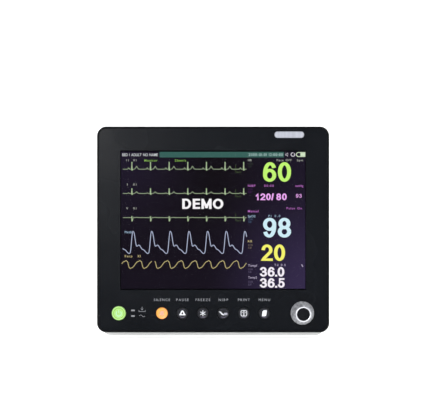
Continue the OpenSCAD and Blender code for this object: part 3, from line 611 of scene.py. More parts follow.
def block_letter(letter, box, pen_width, pen_height, front):
    """A bold letter drawn with an oval pen, inside a box (left, bottom, right, top), in mm."""
    left, bottom, right, top = box
    stretch = pen_width / pen_height
    wide = Face(FRONT.origin, (stretch, 0, 0), FRONT.inward)
    low_x, high_x = left + pen_width / 2, right - pen_width / 2
    low_z, high_z = bottom + pen_height / 2, top - pen_height / 2
    parts = []
    for line in BLOCK_LETTERS[letter]:
        points = [((low_x + (high_x - low_x) * x) / stretch, low_z + (high_z - low_z) * z) for x, z in line]
        first, second = Vector(points[0]), Vector(points[1])
        last, before = Vector(points[-1]), Vector(points[-2])
        if len(line) == 2 or (first - last).length > pen_height / 4:
            points[0] = tuple(first + (first - second).normalized() * pen_height / 2)
            points[-1] = tuple(last + (last - before).normalized() * pen_height / 2)
        parts.append(ribbon_mesh(points, pen_height, front, 0.04, wide))
    return joined(parts)


def round_edges(node, width, segments=2, angle=40):
    """Small rounding of a CAD piece's sharp edges, as a modifier."""
    mod = NODES[node].modifiers.new("rounding", "BEVEL")
    mod.width = width * MM
    mod.segments = segments
    mod.limit_method = "ANGLE"
    mod.angle_limit = math.radians(angle)
    mod.use_clamp_overlap = True


# ---- front panel

PANEL_W = (BEZEL_HIGH.x - BEZEL_LOW.x) / MM
PANEL_H = (BEZEL_HIGH.z - BEZEL_LOW.z) / MM
PANEL_MID = PANEL_H / 2
BEZEL_DEPTH = (BEZEL_HIGH.y - BEZEL_LOW.y) / MM
PANEL_R = 12.5
RIM = 2.6
GLASS_LOW, GLASS_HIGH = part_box("display_window")
VIEW_UP = ((GLASS_LOW.z + GLASS_HIGH.z) / 2 - PANEL_Z) / MM
OPENING_W = 247.0
OPENING_H = 185.5


def middle_of(node):
    """Centre of a CAD piece in mm: across, and above the panel's bottom edge."""
    low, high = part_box(node)
    return (low.x + high.x) / 2 / MM, ((low.z + high.z) / 2 - PANEL_Z) / MM


FUNCTION_KEYS = ["silence_key", "pause_key", "freeze_key", "nibp_key", "print_key", "menu_key"]
KEY_GAP = 0.3
KEY_R = 7.55
POWER_R = 9.25
KEY_FACE = -1.1
SHAFT_HOLE_R = 5.1
NUT_HOLE_R = 8.6
# Width, height and corner radius
ALARM_HOLE = (39.9, 8.9, 4.44)
ALARM_LENS = (39.5, 8.5, 4.24)


def control_loops():
    """Holes of the front: keys, alarm light and indicators."""
    loops = [circle_loop(*middle_of("power_key"), POWER_R + KEY_GAP)]
    loops += [circle_loop(*middle_of(key), KEY_R + KEY_GAP) for key in FUNCTION_KEYS]
    x, up = middle_of("alarm_lens")
    loops.append(rounded_loop(x, up, *ALARM_HOLE))
    x, up = middle_of("indicator_light_pipes")
    loops += [rounded_loop(x, up + s * 3.75, 5.1, 2.1, 0.6) for s in (-1, 1)]
    return loops


def build_bezel():
    """Rim and skirt with a soft outer edge, and the plate behind the overlay."""
    outline = rounded_loop(0, PANEL_MID, PANEL_W, PANEL_H, PANEL_R, 16)
    inner = rounded_loop(0, PANEL_MID, PANEL_W - 2 * RIM, PANEL_H - 2 * RIM, PANEL_R - RIM, 16)
    skirt = plate_mesh([outline, inner], 0, BEZEL_DEPTH, 0.6)
    opening = rounded_loop(0, VIEW_UP, OPENING_W, OPENING_H, 1, 3)
    x, up = middle_of("knob_body")
    holes = [opening, *control_loops(), circle_loop(x, up, SHAFT_HOLE_R)]
    plate = plate_mesh([rounded_loop(0, PANEL_MID, PANEL_W - 4, PANEL_H - 4, 11), *holes], 1.0, 4.0, 0.05)
    plain_piece("bezel_shell", joined([skirt, plate]), "black_plastic", "monitor", ["front_bezel"])


def build_overlay():
    """Printed overlay: the glossy black sheet with its openings."""
    outline = rounded_loop(0, PANEL_MID, PANEL_W - 2 * RIM - 0.2, PANEL_H - 2 * RIM - 0.2, PANEL_R - RIM, 16)
    opening = rounded_loop(0, VIEW_UP, OPENING_W, OPENING_H, 1, 3)
    x, up = middle_of("knob_body")
    mesh = plate_mesh([outline, opening, *control_loops(), circle_loop(x, up, NUT_HOLE_R)], 0.3, 1.0, 0.12)
    plain_piece("overlay_sheet", mesh, "panel_film", "monitor", ["front_overlay"])


def build_alarm_lens():
    x, up = middle_of("alarm_lens")
    lens = plate_mesh([rounded_loop(x, up, *ALARM_LENS, 14)], -0.3, 4.0, 0.55)
    low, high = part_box("alarm_lens")
    width = (high.x - low.x) / MM
    height = (high.z - low.z) / MM
    flange = plate_mesh([rounded_loop(x, up, width, height, height / 2 - 0.01, 14)], 4.0, 5.0, 0.1)
    plain_piece("alarm_lens_cap", joined([lens, flange]), "alarm_plastic", "monitor", ["alarm_lens"])


def key_profile(r):
    """Key cap: a shallow dish inside a raised rim, then the skirt, flange and stem."""
    face = KEY_FACE
    return [
        (0, face + 0.42), (r * 0.4, face + 0.38), (r * 0.68, face + 0.26), (r * 0.8, face + 0.12),
        (r * 0.86, face), (r * 0.91, face + 0.02), (r * 0.955, face + 0.14), (r * 0.985, face + 0.36),
        (r, face + 0.7), (r, 4.3), (r + 1.35, 4.3), (r + 1.35, 5.3), (2.5, 5.3), (2.5, 7.2), (0, 7.2),
    ]


def build_key(key, r, slot):
    x, up = middle_of(key)
    mesh = lathe_mesh(key_profile(r), at(x, 0, up))
    plain_piece(key + "_cap", mesh, slot, key, [key])


build_bezel()
build_overlay()
build_alarm_lens()
build_key("power_key", POWER_R, "green_key")
build_key("silence_key", KEY_R, "orange_key")
for key_name in FUNCTION_KEYS[1:]:
    build_key(key_name, KEY_R, "black_key")


# ---- key icons and legends


# Flat colour with a faint grain: print, and also the shade and highlights painted on the keys
def ink_and_painted_light_material(name, dark, light):
    mat = material(name, light, 0.5, specular_ior_level=0.1)
    vary_colour(mat, noise(mat, 400, 2), dark, light)
    return mat


INK = ink_and_painted_light_material("printed_ink", srgb(205, 207, 212), srgb(228, 230, 234))
GREY_INK = ink_and_painted_light_material("grey_ink", srgb(148, 148, 158), srgb(166, 166, 176))
LEGEND_INK = ink_and_painted_light_material("legend_ink", srgb(134, 136, 142), srgb(152, 154, 160))
# Painted highlights for the black keys: a faint ring where the rim reflects light, and a brighter arc below
# it
RIM_HIGHLIGHT_RING = ink_and_painted_light_material("painted_rim_highlight", srgb(44, 44, 54), srgb(58, 58, 70))
RIM_HIGHLIGHT_ARC = ink_and_painted_light_material("painted_lower_rim_highlight", srgb(84, 80, 98), srgb(104, 98, 118))
ICON_FRONT = KEY_FACE + 0.1


def strokes(x, up, lines, front, width):
    """Lines given as lists of offsets (dx, dz) from a centre, in mm."""
    return [ribbon_mesh([(x + dx, up + dz) for dx, dz in line], width, front, 0.3) for line in lines]


def filled(x, up, outline, front, holes=()):
    loops = [[(x + dx, up + dz) for dx, dz in loop] for loop in (outline, *holes)]
    return plate_mesh(loops, front, front + 0.3, 0.02)


class KeyPrintAndPaintedLight:
    """Collects what is printed on one key, and the shade and highlights painted on it. Places are offsets
    from its centre, in mm.
    """

    def __init__(self, key):
        self.key = key
        self.x, self.up = middle_of(key)

    def lines(self, name, ink, lines, width, raised=0.0):
        self.piece(name, strokes(self.x, self.up, lines, ICON_FRONT - raised, width), ink)

    def shapes(self, name, ink, outlines, holes=(), raised=0.0):
        meshes = [filled(self.x, self.up, outline, ICON_FRONT - raised, holes) for outline in outlines]
        self.piece(name, meshes, ink)

    def piece(self, name, meshes, ink):
        finish_piece(self.key + "_" + name, joined(meshes), ink, self.key)

    def rings(self, r):
        """Painted highlights: a thin lighter ring round the dish, where its rim would reflect light, and a
        brighter arc below.
        """
        self.lines("ring", RIM_HIGHLIGHT_RING, [arc(0, 0, r, -60, 240, r, 48)], 0.5, 0.1)
        self.lines("arc", RIM_HIGHLIGHT_ARC, [arc(0, 0, r, 235, 305, r, 16)], 0.7, 0.12)


def mirrored(half):
    """A closed outline from its right half, listed from the bottom up."""
    return half + [(-dx, dz) for dx, dz in reversed(half)]


def build_icons():
    power = KeyPrintAndPaintedLight("power_key")
    pale = glow("power_ink", srgb(196, 244, 214), 0.85)
    power.lines("icon", pale, [arc(0, -0.3, 3.4, 130, 410), [(0, 0.6), (0, 4.0)]], 1.0)
    # Painted shade: a darker green ring towards the edge of the lit key
    shade = ink_and_painted_light_material("power_painted_shade", srgb(112, 164, 60), srgb(120, 172, 68))
    power.lines("shade", shade, [arc(0, 0, POWER_R * 0.74, 0, 360, None, 56)], 1.0)

    silence = KeyPrintAndPaintedLight("silence_key")
    pale = glow("silence_ink", srgb(255, 200, 176), 0.9)
    bell = mirrored([(3.48, -2.04), (2.64, -0.72), (2.28, 1.08), (1.44, 2.52), (0.48, 3.12)])
    silence.shapes("icon", pale, [bell])
    silence.lines("strike", pale, [[(-1.2, -2.9), (1.2, -2.9)], [(-3.4, -3.2), (3.4, 3.4)]], 0.6, 0.02)
    # Painted shade: a darker arc along the upper left of the key's rim
    shade = ink_and_painted_light_material("silence_painted_shade", srgb(176, 156, 54), srgb(196, 170, 66))
    silence.lines("shade", shade, [arc(0, 0, KEY_R * 0.86, 95, 205, None, 24)], 1.0, 0.1)

    pause = KeyPrintAndPaintedLight("pause_key")
    lamp = mirrored([(4.0, -2.6), (4.0, -1.2), (2.9, -0.3), (2.0, 2.2), (0.8, 3.7)])
    hole = mirrored([(1.3, -1.4), (1.0, 0.6), (0.4, 1.5)])
    pause.shapes("icon", INK, [lamp], [hole])

    freeze = KeyPrintAndPaintedLight("freeze_key")
    spokes = []
    for turn in range(3):
        a = math.radians(90 + 60 * turn)
        tip = (3.9 * math.cos(a), 3.9 * math.sin(a))
        spokes.append([(-tip[0], -tip[1]), tip])
    freeze.lines("icon", INK, spokes, 0.9)

    cuff = KeyPrintAndPaintedLight("nibp_key")
    hand = [(-5.6, 2.4), (-4.2, 1.2), (-2.6, 0.9)]
    arm = [(-3.6, 1.0), (-1.6, -1.2), (0.6, -2.2)]
    cuff.lines("icon", INK, [hand, arm], 1.7)
    wrap = [(5.8, -2.4), (5.8, -0.2), (4.6, 0.7), (1.4, 0.5), (0.4, -0.6), (0.6, -2.6)]
    cuff.shapes("cuff", GREY_INK, [wrap])

    book = KeyPrintAndPaintedLight("print_key")
    page = rounded_loop(0, 0, 7.6, 7.2, 1.6, 4)
    rows = [[(-2.5, 0.9), (-1.6, 0.9)], [(1.6, 0.9), (2.5, 0.9)]]
    book.lines("outline", INK, [page + page[:1], *rows], 0.75)
    book.lines("icon", INK, [[(0, -3.2), (0, 3.2)]], 0.9, 0.02)

    menu = KeyPrintAndPaintedLight("menu_key")
    sheet = [(-3.3, -4.0), (1.0, -4.0), (2.6, -2.6), (3.3, 4.0), (-0.8, 4.0), (-2.6, 2.4)]
    menu.shapes("icon", INK, [sheet])
    menu.lines("rows", GREY_INK, [[(-1.2, dz), (1.6, dz)] for dz in (1.6, 0.2, -1.2)], 0.35, 0.03)

    for key in FUNCTION_KEYS[1:]:
        KeyPrintAndPaintedLight(key).rings(KEY_R * 0.72)


LEGENDS = {
    "silence_key": ("SILENCE", 21.5), "pause_key": ("PAUSE", 16.5), "freeze_key": ("FREEZE", 19.5),
    "nibp_key": ("NIBP", 12.5), "print_key": ("PRINT", 15.5), "menu_key": ("MENU", 15.0),
}
LEGEND_UP = 43.4
LEGEND_H = 3.1


def build_legends():
    """Words over the keys, and the signs beside the indicators."""
    parts = []
    front = 0.26
    for key, (word, width) in LEGENDS.items():
        x = middle_of(key)[0]
        box = (x - width / 2, LEGEND_UP - LEGEND_H / 2, x + width / 2, LEGEND_UP + LEGEND_H / 2)
        parts.append(spaced_text(word, box, front, -0.004))
    x, up = middle_of("indicator_light_pipes")
    sign_x = x + 12.2
    battery = [(-4.2, -1.2), (-4.2, -3.2), (4.2, -3.2), (4.2, -1.2)]
    arrow = [[(0, 3.2), (0, -1.0)], [(-1.6, 0.8), (0, -1.0), (1.6, 0.8)]]
    wave = [(-3.8 + 0.38 * i, 1.2 * math.sin(math.tau * i / 20)) for i in range(21)]
    parts += strokes(sign_x, up + 5.4, [battery, *arrow], front, 0.4)
    parts += strokes(sign_x, up - 3.5, [wave], front, 0.4)
    finish_piece("panel_legends", joined(parts), LEGEND_INK, "monitor")


build_icons()
build_legends()


# ---- knob

KNOB_X, KNOB_UP = middle_of("knob_body")
KNOB_LOW, KNOB_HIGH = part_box("knob_body")
KNOB_R = (KNOB_HIGH.x - KNOB_LOW.x) / 2 / MM
KNOB_TIP = (KNOB_LOW.y - FACE_Y) / MM
KNOB_BASE = (KNOB_HIGH.y - FACE_Y) / MM
KNOB_TIP_R = 10.3
KNOB_BORE_R = 12.0
INLAY_R = 8.5


def knob_ripple(angle, along):
    """Grip flutes round the tapered side, which fade out at its ends."""
    fade = min(1, max(0, (KNOB_BASE - 2.4 - along) / 2)) * min(1, max(0, (along - KNOB_TIP - 2.4) / 2))
    return 1 - 0.014 * fade * (0.5 + 0.5 * math.cos(36 * angle)) ** 2


def build_knob():
    """Tapered metal knob with a diamond-cut ring at its tip and a dark textured inlay."""
    taper = []
    for i in range(11):
        t = i / 10
        radius = KNOB_R + (KNOB_TIP_R + 0.5 - KNOB_R) * t ** 0.94
        taper.append((radius, KNOB_BASE - 2.4 + (KNOB_TIP + 2.0 - KNOB_BASE + 2.4) * t))
    profile = [
        (KNOB_BORE_R, KNOB_BASE), (KNOB_R - 0.5, KNOB_BASE), (KNOB_R - 0.1, KNOB_BASE - 0.4),
        (KNOB_R, KNOB_BASE - 0.9), *taper,
        (KNOB_TIP_R + 0.2, KNOB_TIP + 1.3), (KNOB_TIP_R - 0.1, KNOB_TIP + 1.0), (INLAY_R, KNOB_TIP + 1.4),
        (3.0, KNOB_TIP + 3), (3.0, -7.0), (KNOB_BORE_R, -7.0), (KNOB_BORE_R, KNOB_BASE),
    ]
    centre = at(KNOB_X, 0, KNOB_UP)
    mesh = lathe_mesh(profile, centre, "Y", 216, knob_ripple)
    plain_piece("knob_shell", mesh, "knob_metal", "knob", ["knob_body"])

    ring = material("cut_ring", (0.66, 0.67, 0.7), 0.26, 0.6)
    turning = noise(ring, 300, 3, (1, 6, 1))
    vary_colour(ring, turning, (0.58, 0.59, 0.63), (0.74, 0.75, 0.78))
    profile = [
        (KNOB_TIP_R - 0.1, KNOB_TIP + 1.0), (KNOB_TIP_R - 0.25, KNOB_TIP + 0.45),
        (KNOB_TIP_R - 0.6, KNOB_TIP + 0.08), (KNOB_TIP_R - 0.9, KNOB_TIP), (INLAY_R + 0.5, KNOB_TIP),
        (INLAY_R + 0.1, KNOB_TIP + 0.15), (INLAY_R, KNOB_TIP + 1.4),
    ]
    mesh = lathe_mesh(profile, centre, "Y", 144)
    finish_piece("knob_ring", mesh, ring, "knob")

    inlay = moulded("knob_inlay", (0.0014, 0.0018, 0.003), (0.004, 0.0045, 0.006), 0.45, 420, 0.0002)
    dull(inlay, 0.07)
    top = KNOB_TIP + 0.45
    edge = INLAY_R - 0.05
    profile = [
        (0, top - 0.1), (INLAY_R * 0.6, top - 0.06), (INLAY_R * 0.93, top), (edge, top + 0.3),
        (edge, KNOB_TIP + 1.4), (0, KNOB_TIP + 1.4),
    ]
    mesh = lathe_mesh(profile, centre, "Y", 72)
    finish_piece("knob_inlay", mesh, inlay, "knob", ["knob_cap"])


build_knob()


# ---- display graphics

VIEW_LEFT = -LIT_W / 2
VIEW_TOP = VIEW_UP + LIT_H / 2
SCREEN_FRONT = 4.25


class Screen:
    """Collects what is drawn in one colour. Places are mm from the lit area's left and top edges."""

    def __init__(self, name, colour, strength=1.0):
        self.name = name
        self.paint = glow(name, srgb(*colour), strength)
        self.parts = []

    def label(self, words, left, top, right, bottom, weight=0.004):
        """Small words with evenly spread letters."""
        box = (VIEW_LEFT + left, VIEW_TOP - bottom, VIEW_LEFT + right, VIEW_TOP - top)
        self.parts.append(spaced_text(words, box, SCREEN_FRONT, weight))

    def figures(self, places, top, bottom, pen_width, pen_height):
        """Bold figures, each given with its left and right side."""
        for letter, left, right in places:
            box = (VIEW_LEFT + left, VIEW_TOP - bottom, VIEW_LEFT + right, VIEW_TOP - top)
            self.parts.append(block_letter(letter, box, pen_width, pen_height, SCREEN_FRONT))

    def line(self, points, width):
        moved = [(VIEW_LEFT + u, VIEW_TOP - v) for u, v in points]
        self.parts.append(ribbon_mesh(moved, width, SCREEN_FRONT))

    def bar(self, left, top, right, bottom, front=SCREEN_FRONT):
        x = VIEW_LEFT + (left + right) / 2
        z = VIEW_TOP - (top + bottom) / 2
        corners = ((1, 1), (-1, 1), (-1, -1), (1, -1))
        loop = [(x + sx * (right - left) / 2, z + sz * (bottom - top) / 2) for sx, sz in corners]
        self.parts.append(plate_mesh([loop], front, front + 0.04, 0.005))

    def finish(self):
        finish_piece(self.name, joined(self.parts), self.paint, "monitor")


def write(name, colour, strength, *labels):
    """Small words in one colour, each with its left, top, right and bottom."""
    screen = Screen(name, colour, strength)
    for words in labels:
        screen.label(*words)
    screen.finish()


def show(name, colour, *values):
    """Large values in one colour: figures with their sides, top, bottom, and the pen's width and height."""
    screen = Screen(name, colour)
    for value in values:
        screen.figures(*value)
    screen.finish()


def eased(knots, t):
    """A smooth curve through knots (position, value), flat at each knot."""
    for (t0, v0), (t1, v1) in zip(knots, knots[1:]):
        if t <= t1:
            f = (t - t0) / (t1 - t0)
            return v0 + (v1 - v0) * (0.5 - 0.5 * math.cos(math.pi * max(0, min(1, f))))
    return knots[-1][1]


def hump(t, middle, width):
    return max(0.0, 1 - abs(t - middle) / width)


TRACE_START, TRACE_END = 2.5, 167.6
BEAT = 24.86
FIRST_R = 14.6


def ecg_points(base, p, r, s, t_wave):
    """An ECG lead: small P wave, sharp R spike, slight S dip and T wave."""
    points = []
    step = 0.2
    for i in range(int((TRACE_END - TRACE_START) / step) + 1):
        u = TRACE_START + i * step
        phase = (u - FIRST_R + BEAT / 2) % BEAT - BEAT / 2
        up = p * hump(phase, -4.4, 1.4) + r * hump(phase, 0, 0.8) - s * hump(phase, 0.9, 0.9)
        up += t_wave * hump(phase, 6.3, 2.9) ** 1.3
        points.append((u, base - up))
    return points


def spike_lines(base, r, s):
    """The bright upright strokes of an ECG lead."""
    count = int((TRACE_END - FIRST_R) / BEAT) + 1
    return [[(FIRST_R + BEAT * i, base - r), (FIRST_R + BEAT * i + 0.2, base + s)] for i in range(count)]


def pleth_points():
    knots = [
        (0, 29.9), (1.0, 29.2), (4.9, 0.3), (5.6, 0.8),
        (10.1, 20.2), (12.9, 18.6), (18.0, 24.5), (BEAT, 29.9),
    ]
    points = []
    for i in range(int((168 - TRACE_START) / 0.4) + 1):
        u = TRACE_START + i * 0.4
        points.append((u, 106 + eased(knots, (u - 11.1) % BEAT)))
    return points


def resp_points(start, end):
    knots = [(0, 10.5), (1.5, 9.6), (10.5, 1.2), (12.6, 0), (14.2, 1.2), (17.2, 9.8), (18.4, 10.5)]
    count = int((end - start) / 0.4) + 1
    return [(start + i * 0.4, 145.3 + eased(knots, (start + i * 0.4 - 12.7) % 18.4)) for i in range(count)]


def build_traces():
    """Three ECG leads with their calibration marks, the pulse wave and the breathing wave."""
    leads = ((23.4, 2.0, 9.0, 1.2, 4.0), (55.8, 0.9, 6.2, 1.2, 2.4), (88.0, 0.0, 1.4, 4.4, 0.5))
    green = Screen("screen_ecg", (160, 178, 144))
    bright = Screen("screen_ecg_spikes", (188, 216, 166))
    marks = Screen("screen_calibration", (74, 92, 54))
    for base, p, r, s, t_wave in leads:
        green.line(ecg_points(base, p, r, s, t_wave), 0.78)
        for stroke in spike_lines(base, r + 0.6, s + 0.6):
            bright.line(stroke, 1.25)
        marks.line([(153.1, base - 5.6), (153.1, base + 4.4)], 0.6)
        marks.label("1mV", 154.4, base + 2.6, 160.6, base + 5.2)
    for screen in (green, bright, marks):
        screen.finish()

    blue = Screen("screen_pleth", (184, 194, 222), 1.05)
    blue.line(pleth_points(), 0.9)
    blue.finish()

    sand = Screen("screen_resp", (206, 192, 132))
    sand.line(resp_points(1.0, 41.7), 0.82)
    sand.line(resp_points(45.0, TRACE_END), 0.82)
    sand.finish()


def build_numbers():
    """The large measured values."""
    rate = (("6", 189.6, 207.2), ("0", 209.4, 227.0))
    show("screen_heart_rate", (200, 252, 118), (rate, 14.0, 40.2, 5.3, 4.1))
    saturation = (("9", 189.6, 207.2), ("8", 209.2, 227.0))
    show("screen_saturation", (214, 245, 255), (saturation, 88.3, 114.6, 5.3, 4.1))
    breaths = (("2", 187.4, 202.6), ("0", 204.2, 219.0))
    show("screen_resp_rate", (254, 250, 112), (breaths, 123.8, 145.8, 4.6, 3.5))
    pressure = (
        ("1", 179.4, 185.2), ("2", 186.0, 192.8), ("0", 193.6, 199.9), ("/", 200.2, 204.2),
        ("8", 207.2, 213.7), ("0", 214.8, 221.2),
    )
    mean = (("9", 233.4, 236.8), ("3", 237.8, 241.2))
    show("screen_pressure", (244, 176, 250), (pressure, 55.7, 64.8, 2.1, 1.7), (mean, 56.4, 61.5, 0.85, 0.75))
    common = (("3", 185.5, 195.0), ("6", 195.8, 205.1), (".", 205.8, 208.3))
    first = ((*common, ("0", 209.0, 218.0)), 153.9, 166.7, 2.9, 2.3)
    second = ((*common, ("5", 209.4, 218.6)), 168.7, 181.5, 2.9, 2.3)
    show("screen_temperature", (252, 246, 255), first, second)
    demo = (("D", 81.8, 93.6), ("E", 95.8, 105.6), ("M", 107.4, 120.9), ("O", 122.6, 136.6))
    show("screen_demo", (255, 253, 255), (demo, 62.8, 76.4, 3.4, 2.6))


def build_labels():
    """Small words round the values and waves."""
    write(
        "screen_green_text", (150, 204, 92), 1.0,
        ("Monitor", 31.3, 10.2, 48.6, 13.2), ("25mm/s", 71.8, 10.2, 86.8, 13.2),
    )
    small = (
        ("II", 7.2, 10.0, 10.2), ("X1", 16.0, 10.0, 20.6), ("I", 8.2, 42.4, 8.8), ("X1", 16.0, 42.4, 20.6),
        ("V", 7.0, 74.2, 9.6), ("X1", 16.0, 74.2, 20.6), ("HR", 169.5, 10.0, 174.6),
        ("Pace OFF", 207.8, 10.0, 227.6), ("bpm", 235, 10.0, 242.8),
    )
    write("screen_small_text", (196, 200, 190), 0.9, *[(*words, words[2] + 2.8) for words in small])
    write(
        "screen_blue_text", (176, 206, 232), 0.95,
        ("Pleth", 5.2, 105.8, 14.4, 108.8), ("SpO2", 169.5, 84.6, 179.4, 87.6),
        ("PI 0.0", 196.8, 84.4, 212.4, 87.2),
    )
    write(
        "screen_sand_text", (222, 204, 144), 0.95,
        ("Resp", 5.2, 137.9, 15.2, 140.8), ("X1", 22.0, 137.9, 26.4, 140.8),
        ("RR", 169.5, 118.1, 175.2, 121.1),
    )
    write(
        "screen_pressure_text", (208, 124, 218), 0.95,
        ("NIBP", 169.5, 44.0, 179.4, 47.0), ("00:00", 191.2, 44.0, 203.8, 46.8),
        ("mmHg", 232.8, 44.2, 243.2, 47.0), ("Manual", 169.5, 77.9, 183.6, 80.9),
        ("Pulse On", 221.0, 74.1, 241.2, 77.0),
    )
    lilac = Screen("screen_temperature_text", (210, 198, 228), 0.9)
    lilac.label("Temp1", 169.7, 150.4, 181.4, 153.4)
    lilac.label("Temp2", 169.7, 166.4, 181.4, 169.2)
    lilac.label("Td 0.5", 204.6, 149.7, 219.6, 152.6)
    lilac.line([(240.9, 150.4), (241.6, 151.4), (242.8, 153.6)], 1.0)
    lilac.finish()

    limits = (
        ("rate", (62, 74, 60), 15.0), ("pressure", (84, 34, 104), 49.2), ("saturation", (84, 112, 150), 89.0),
        ("resp", (136, 120, 102), 123.4), ("temp1", (108, 98, 128), 155.8), ("temp2", (108, 98, 128), 172.4),
    )
    for value, colour, top in limits:
        upper = ("120", 170.0, top, 175.6, top + 2.4)
        lower = ("50", 170.0, top + 3.6, 174.0, top + 6.0)
        write("screen_" + value + "_limits", colour, 0.9, upper, lower)


def build_status_bar():
    """Bed and patient type, clock, alarm and battery signs."""
    write("screen_title", (228, 232, 234), 0.95, ("BED 1 ADULT NO NAME", 1.8, 2.4, 49.2, 6.0, 0.008))
    bar = Screen("screen_status_bar", (58, 102, 94), 0.95)
    bar.bar(51.5, 0.3, 217.5, 7.7, SCREEN_FRONT + 0.06)
    bar.finish()
    write("screen_clock", (200, 232, 226), 0.9, ("2000-01-01 12:00:00", 170.2, 2.3, 216.0, 5.7))

    signs = Screen("screen_signs", (222, 216, 228), 0.9)
    horn = [(219.8, 3.1), (221.0, 3.1), (222.6, 1.7), (222.6, 6.2), (221.0, 4.8), (219.8, 4.8), (219.8, 3.1)]
    bell = [(229.9, 1.2), (227.6, 2.0), (226.8, 4.0), (228.0, 6.0), (230.4, 6.2), (232.0, 5.0), (231.2, 2.0)]
    signs.line(horn, 0.6)
    signs.line(bell, 1.1)
    signs.finish()
    cell = Screen("screen_battery", (222, 242, 208), 0.95)
    cell.line([(235.6, 1.1), (245.4, 1.1), (245.4, 6.5), (235.6, 6.5), (233.6, 3.8), (235.6, 1.1)], 1.0)
    cell.bar(239.4, 1.8, 245.0, 5.8)
    cell.finish()


build_traces()
build_numbers()
build_labels()
build_status_bar()


# ---- sides and back

SENSOR_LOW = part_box("sensor_panel")[0]
SENSOR = Face((SENSOR_LOW.x, FACE_Y, PANEL_Z), (0, -1, 0), (1, 0, 0))
REAR_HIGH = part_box("rear_panel")[1]
TERMINALS = Face((0, REAR_HIGH.y, PANEL_Z), (-1, 0, 0), (0, -1, 0))
DARK_INK = ink_and_painted_light_material("dark_ink", srgb(78, 80, 86), srgb(92, 94, 100))
PRINT = 0.05  # thickness of the ink, in mm
NAME_WIDTHS = {"ECG": 9.5, "SpO2": 11.5, "NIBP": 11.0, "T1": 4.5, "T2": 4.5}


def socket_place(socket):
    """Outer end of a side socket, on its axis, and its height above the panel's bottom edge in mm."""
    low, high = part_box(socket)
    middle = (low + high) / 2
    return Vector((low.x, middle.y, middle.z)), (middle.z - PANEL_Z) / MM


def build_contacts(socket, bore_r, bore_l, rings):
    """Insulating insert at the bottom of a socket's bore, with rings of contact pins (count, radius)."""
    centre = socket_place(socket)[0]
    face = bore_l - 4
    edge = bore_r - 0.15
    insert = [(0, face), (edge - 0.5, face), (edge, face + 0.4), (edge, bore_l - 0.05), (0, bore_l - 0.05)]
    plain_piece(socket + "_insert", lathe_mesh(insert, centre, "X", 48), "dark_plastic")
    pin = [(0, face - 4.6), (0.3, face - 4.5), (0.5, face - 4.0), (0.5, face + 0.5), (0, face + 0.5)]
    pins = []
    for count, ring_r in rings:
        for i in range(count):
            a = math.tau * (i + 0.5) / count
            place = centre + Vector((0, ring_r * math.cos(a), ring_r * math.sin(a))) * MM
            pins.append(lathe_mesh(pin, place, "X", 14))
    plain_piece(socket + "_pins", joined(pins), "brass")


def socket_name(word, u, up):
    """A name printed on the sensor panel, centred at u."""
    width, height = NAME_WIDTHS[word], 3.2
    box = (u - width / 2, up - height / 2, u + width / 2, up + height / 2)
    return spaced_text(word, box, -PRINT, 0.0, PRINT, SENSOR)


def build_sensor_side():
    """Contacts, metal mouths and names of the sensor sockets."""
    build_contacts("ecg_socket", 8, 12, [(8, 5.3), (4, 2.2)])
    build_contacts("spo2_socket", 6.5, 12, [(7, 4.2), (2, 1.2)])
    low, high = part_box("temp_sockets")
    middle_y = (low.y + high.y) / 2
    from_end = 7.5 * MM
    mouth = [(3.25, 0.6), (3.25, -0.1), (3.4, -0.25), (4.6, -0.25), (4.8, 0.0), (4.8, 0.05), (3.4, 0.05)]
    mouths = []
    for z in (low.z + from_end, high.z - from_end):
        mouths.append(lathe_mesh(mouth, Vector((low.x, middle_y, z)), "X", 40))
    plain_piece("temp_mouths", joined(mouths), "steel")

    middle = -(middle_y - FACE_Y) / MM
    names = []
    places = (("ECG", "ecg_socket", 18.6), ("SpO2", "spo2_socket", 16.6), ("NIBP", "nibp_port", 14.2))
    for word, socket, drop in places:
        names.append(socket_name(word, middle, socket_place(socket)[1] - drop))
    for word, z in (("T1", high.z - from_end), ("T2", low.z + from_end)):
        names.append(socket_name(word, middle + 13.25, (z - PANEL_Z) / MM))
    finish_piece("socket_names", joined(names), INK, "monitor")


def drawn(face, x, up, lines, width):
    """Printed lines on a side, from offsets round a centre, in mm."""
    return [ribbon_mesh([(x + dx, up + dz) for dx, dz in line], width, -PRINT, PRINT, face) for line in lines]


def build_door_marks():
    """Finger ribs and printed signs of the battery door and the recorder door."""
    low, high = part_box("battery_door")
    middle = ((low.y + high.y) / 2 - FACE_Y) / MM
    up = ((low.z + high.z) / 2 - PANEL_Z) / MM
    ribs = []
    for i in range(5):
        loop = rounded_loop(middle, up + 12.5 - 1.9 * i, 22, 0.9, 0.4, 4)
        ribs.append(plate_mesh([loop], -0.55, 0.1, 0.2, RIGHT))
    plain_piece("battery_door_ribs", joined(ribs), "housing_plastic", "battery_door")
    cell = [(-5, -2.4), (5, -2.4), (5, -1.1), (6, -1.1), (6, 1.1), (5, 1.1), (5, 2.4), (-5, 2.4), (-5, -2.4)]
    levels = [[(-2.9 + 2.9 * i, -1.3), (-2.9 + 2.9 * i, 1.3)] for i in range(3)]
    marks = drawn(RIGHT, middle, up - 7.5, [cell], 0.6) + drawn(RIGHT, middle, up - 7.5, levels, 1.3)
    finish_piece("battery_door_sign", joined(marks), DARK_INK, "battery_door")

    low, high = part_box("recorder_door")
    middle = ((low.y + high.y) / 2 - FACE_Y) / MM
    up = (low.z - PANEL_Z) / MM + 14
    body = [(-5, -2.6), (5, -2.6), (5, 1.4), (-5, 1.4), (-5, -2.6)]
    sheet = [(-3, 1.4), (-3, 4.6), (3, 4.6), (3, 1.4)]
    curve = [(-2 + 0.25 * i, 2.9 + 0.7 * math.sin(math.tau * i / 8)) for i in range(17)]
    marks = drawn(RIGHT, middle, up, [body, sheet], 0.6) + drawn(RIGHT, middle, up, [curve], 0.4)
    finish_piece("recorder_door_sign", joined(marks), DARK_INK, "recorder_door")


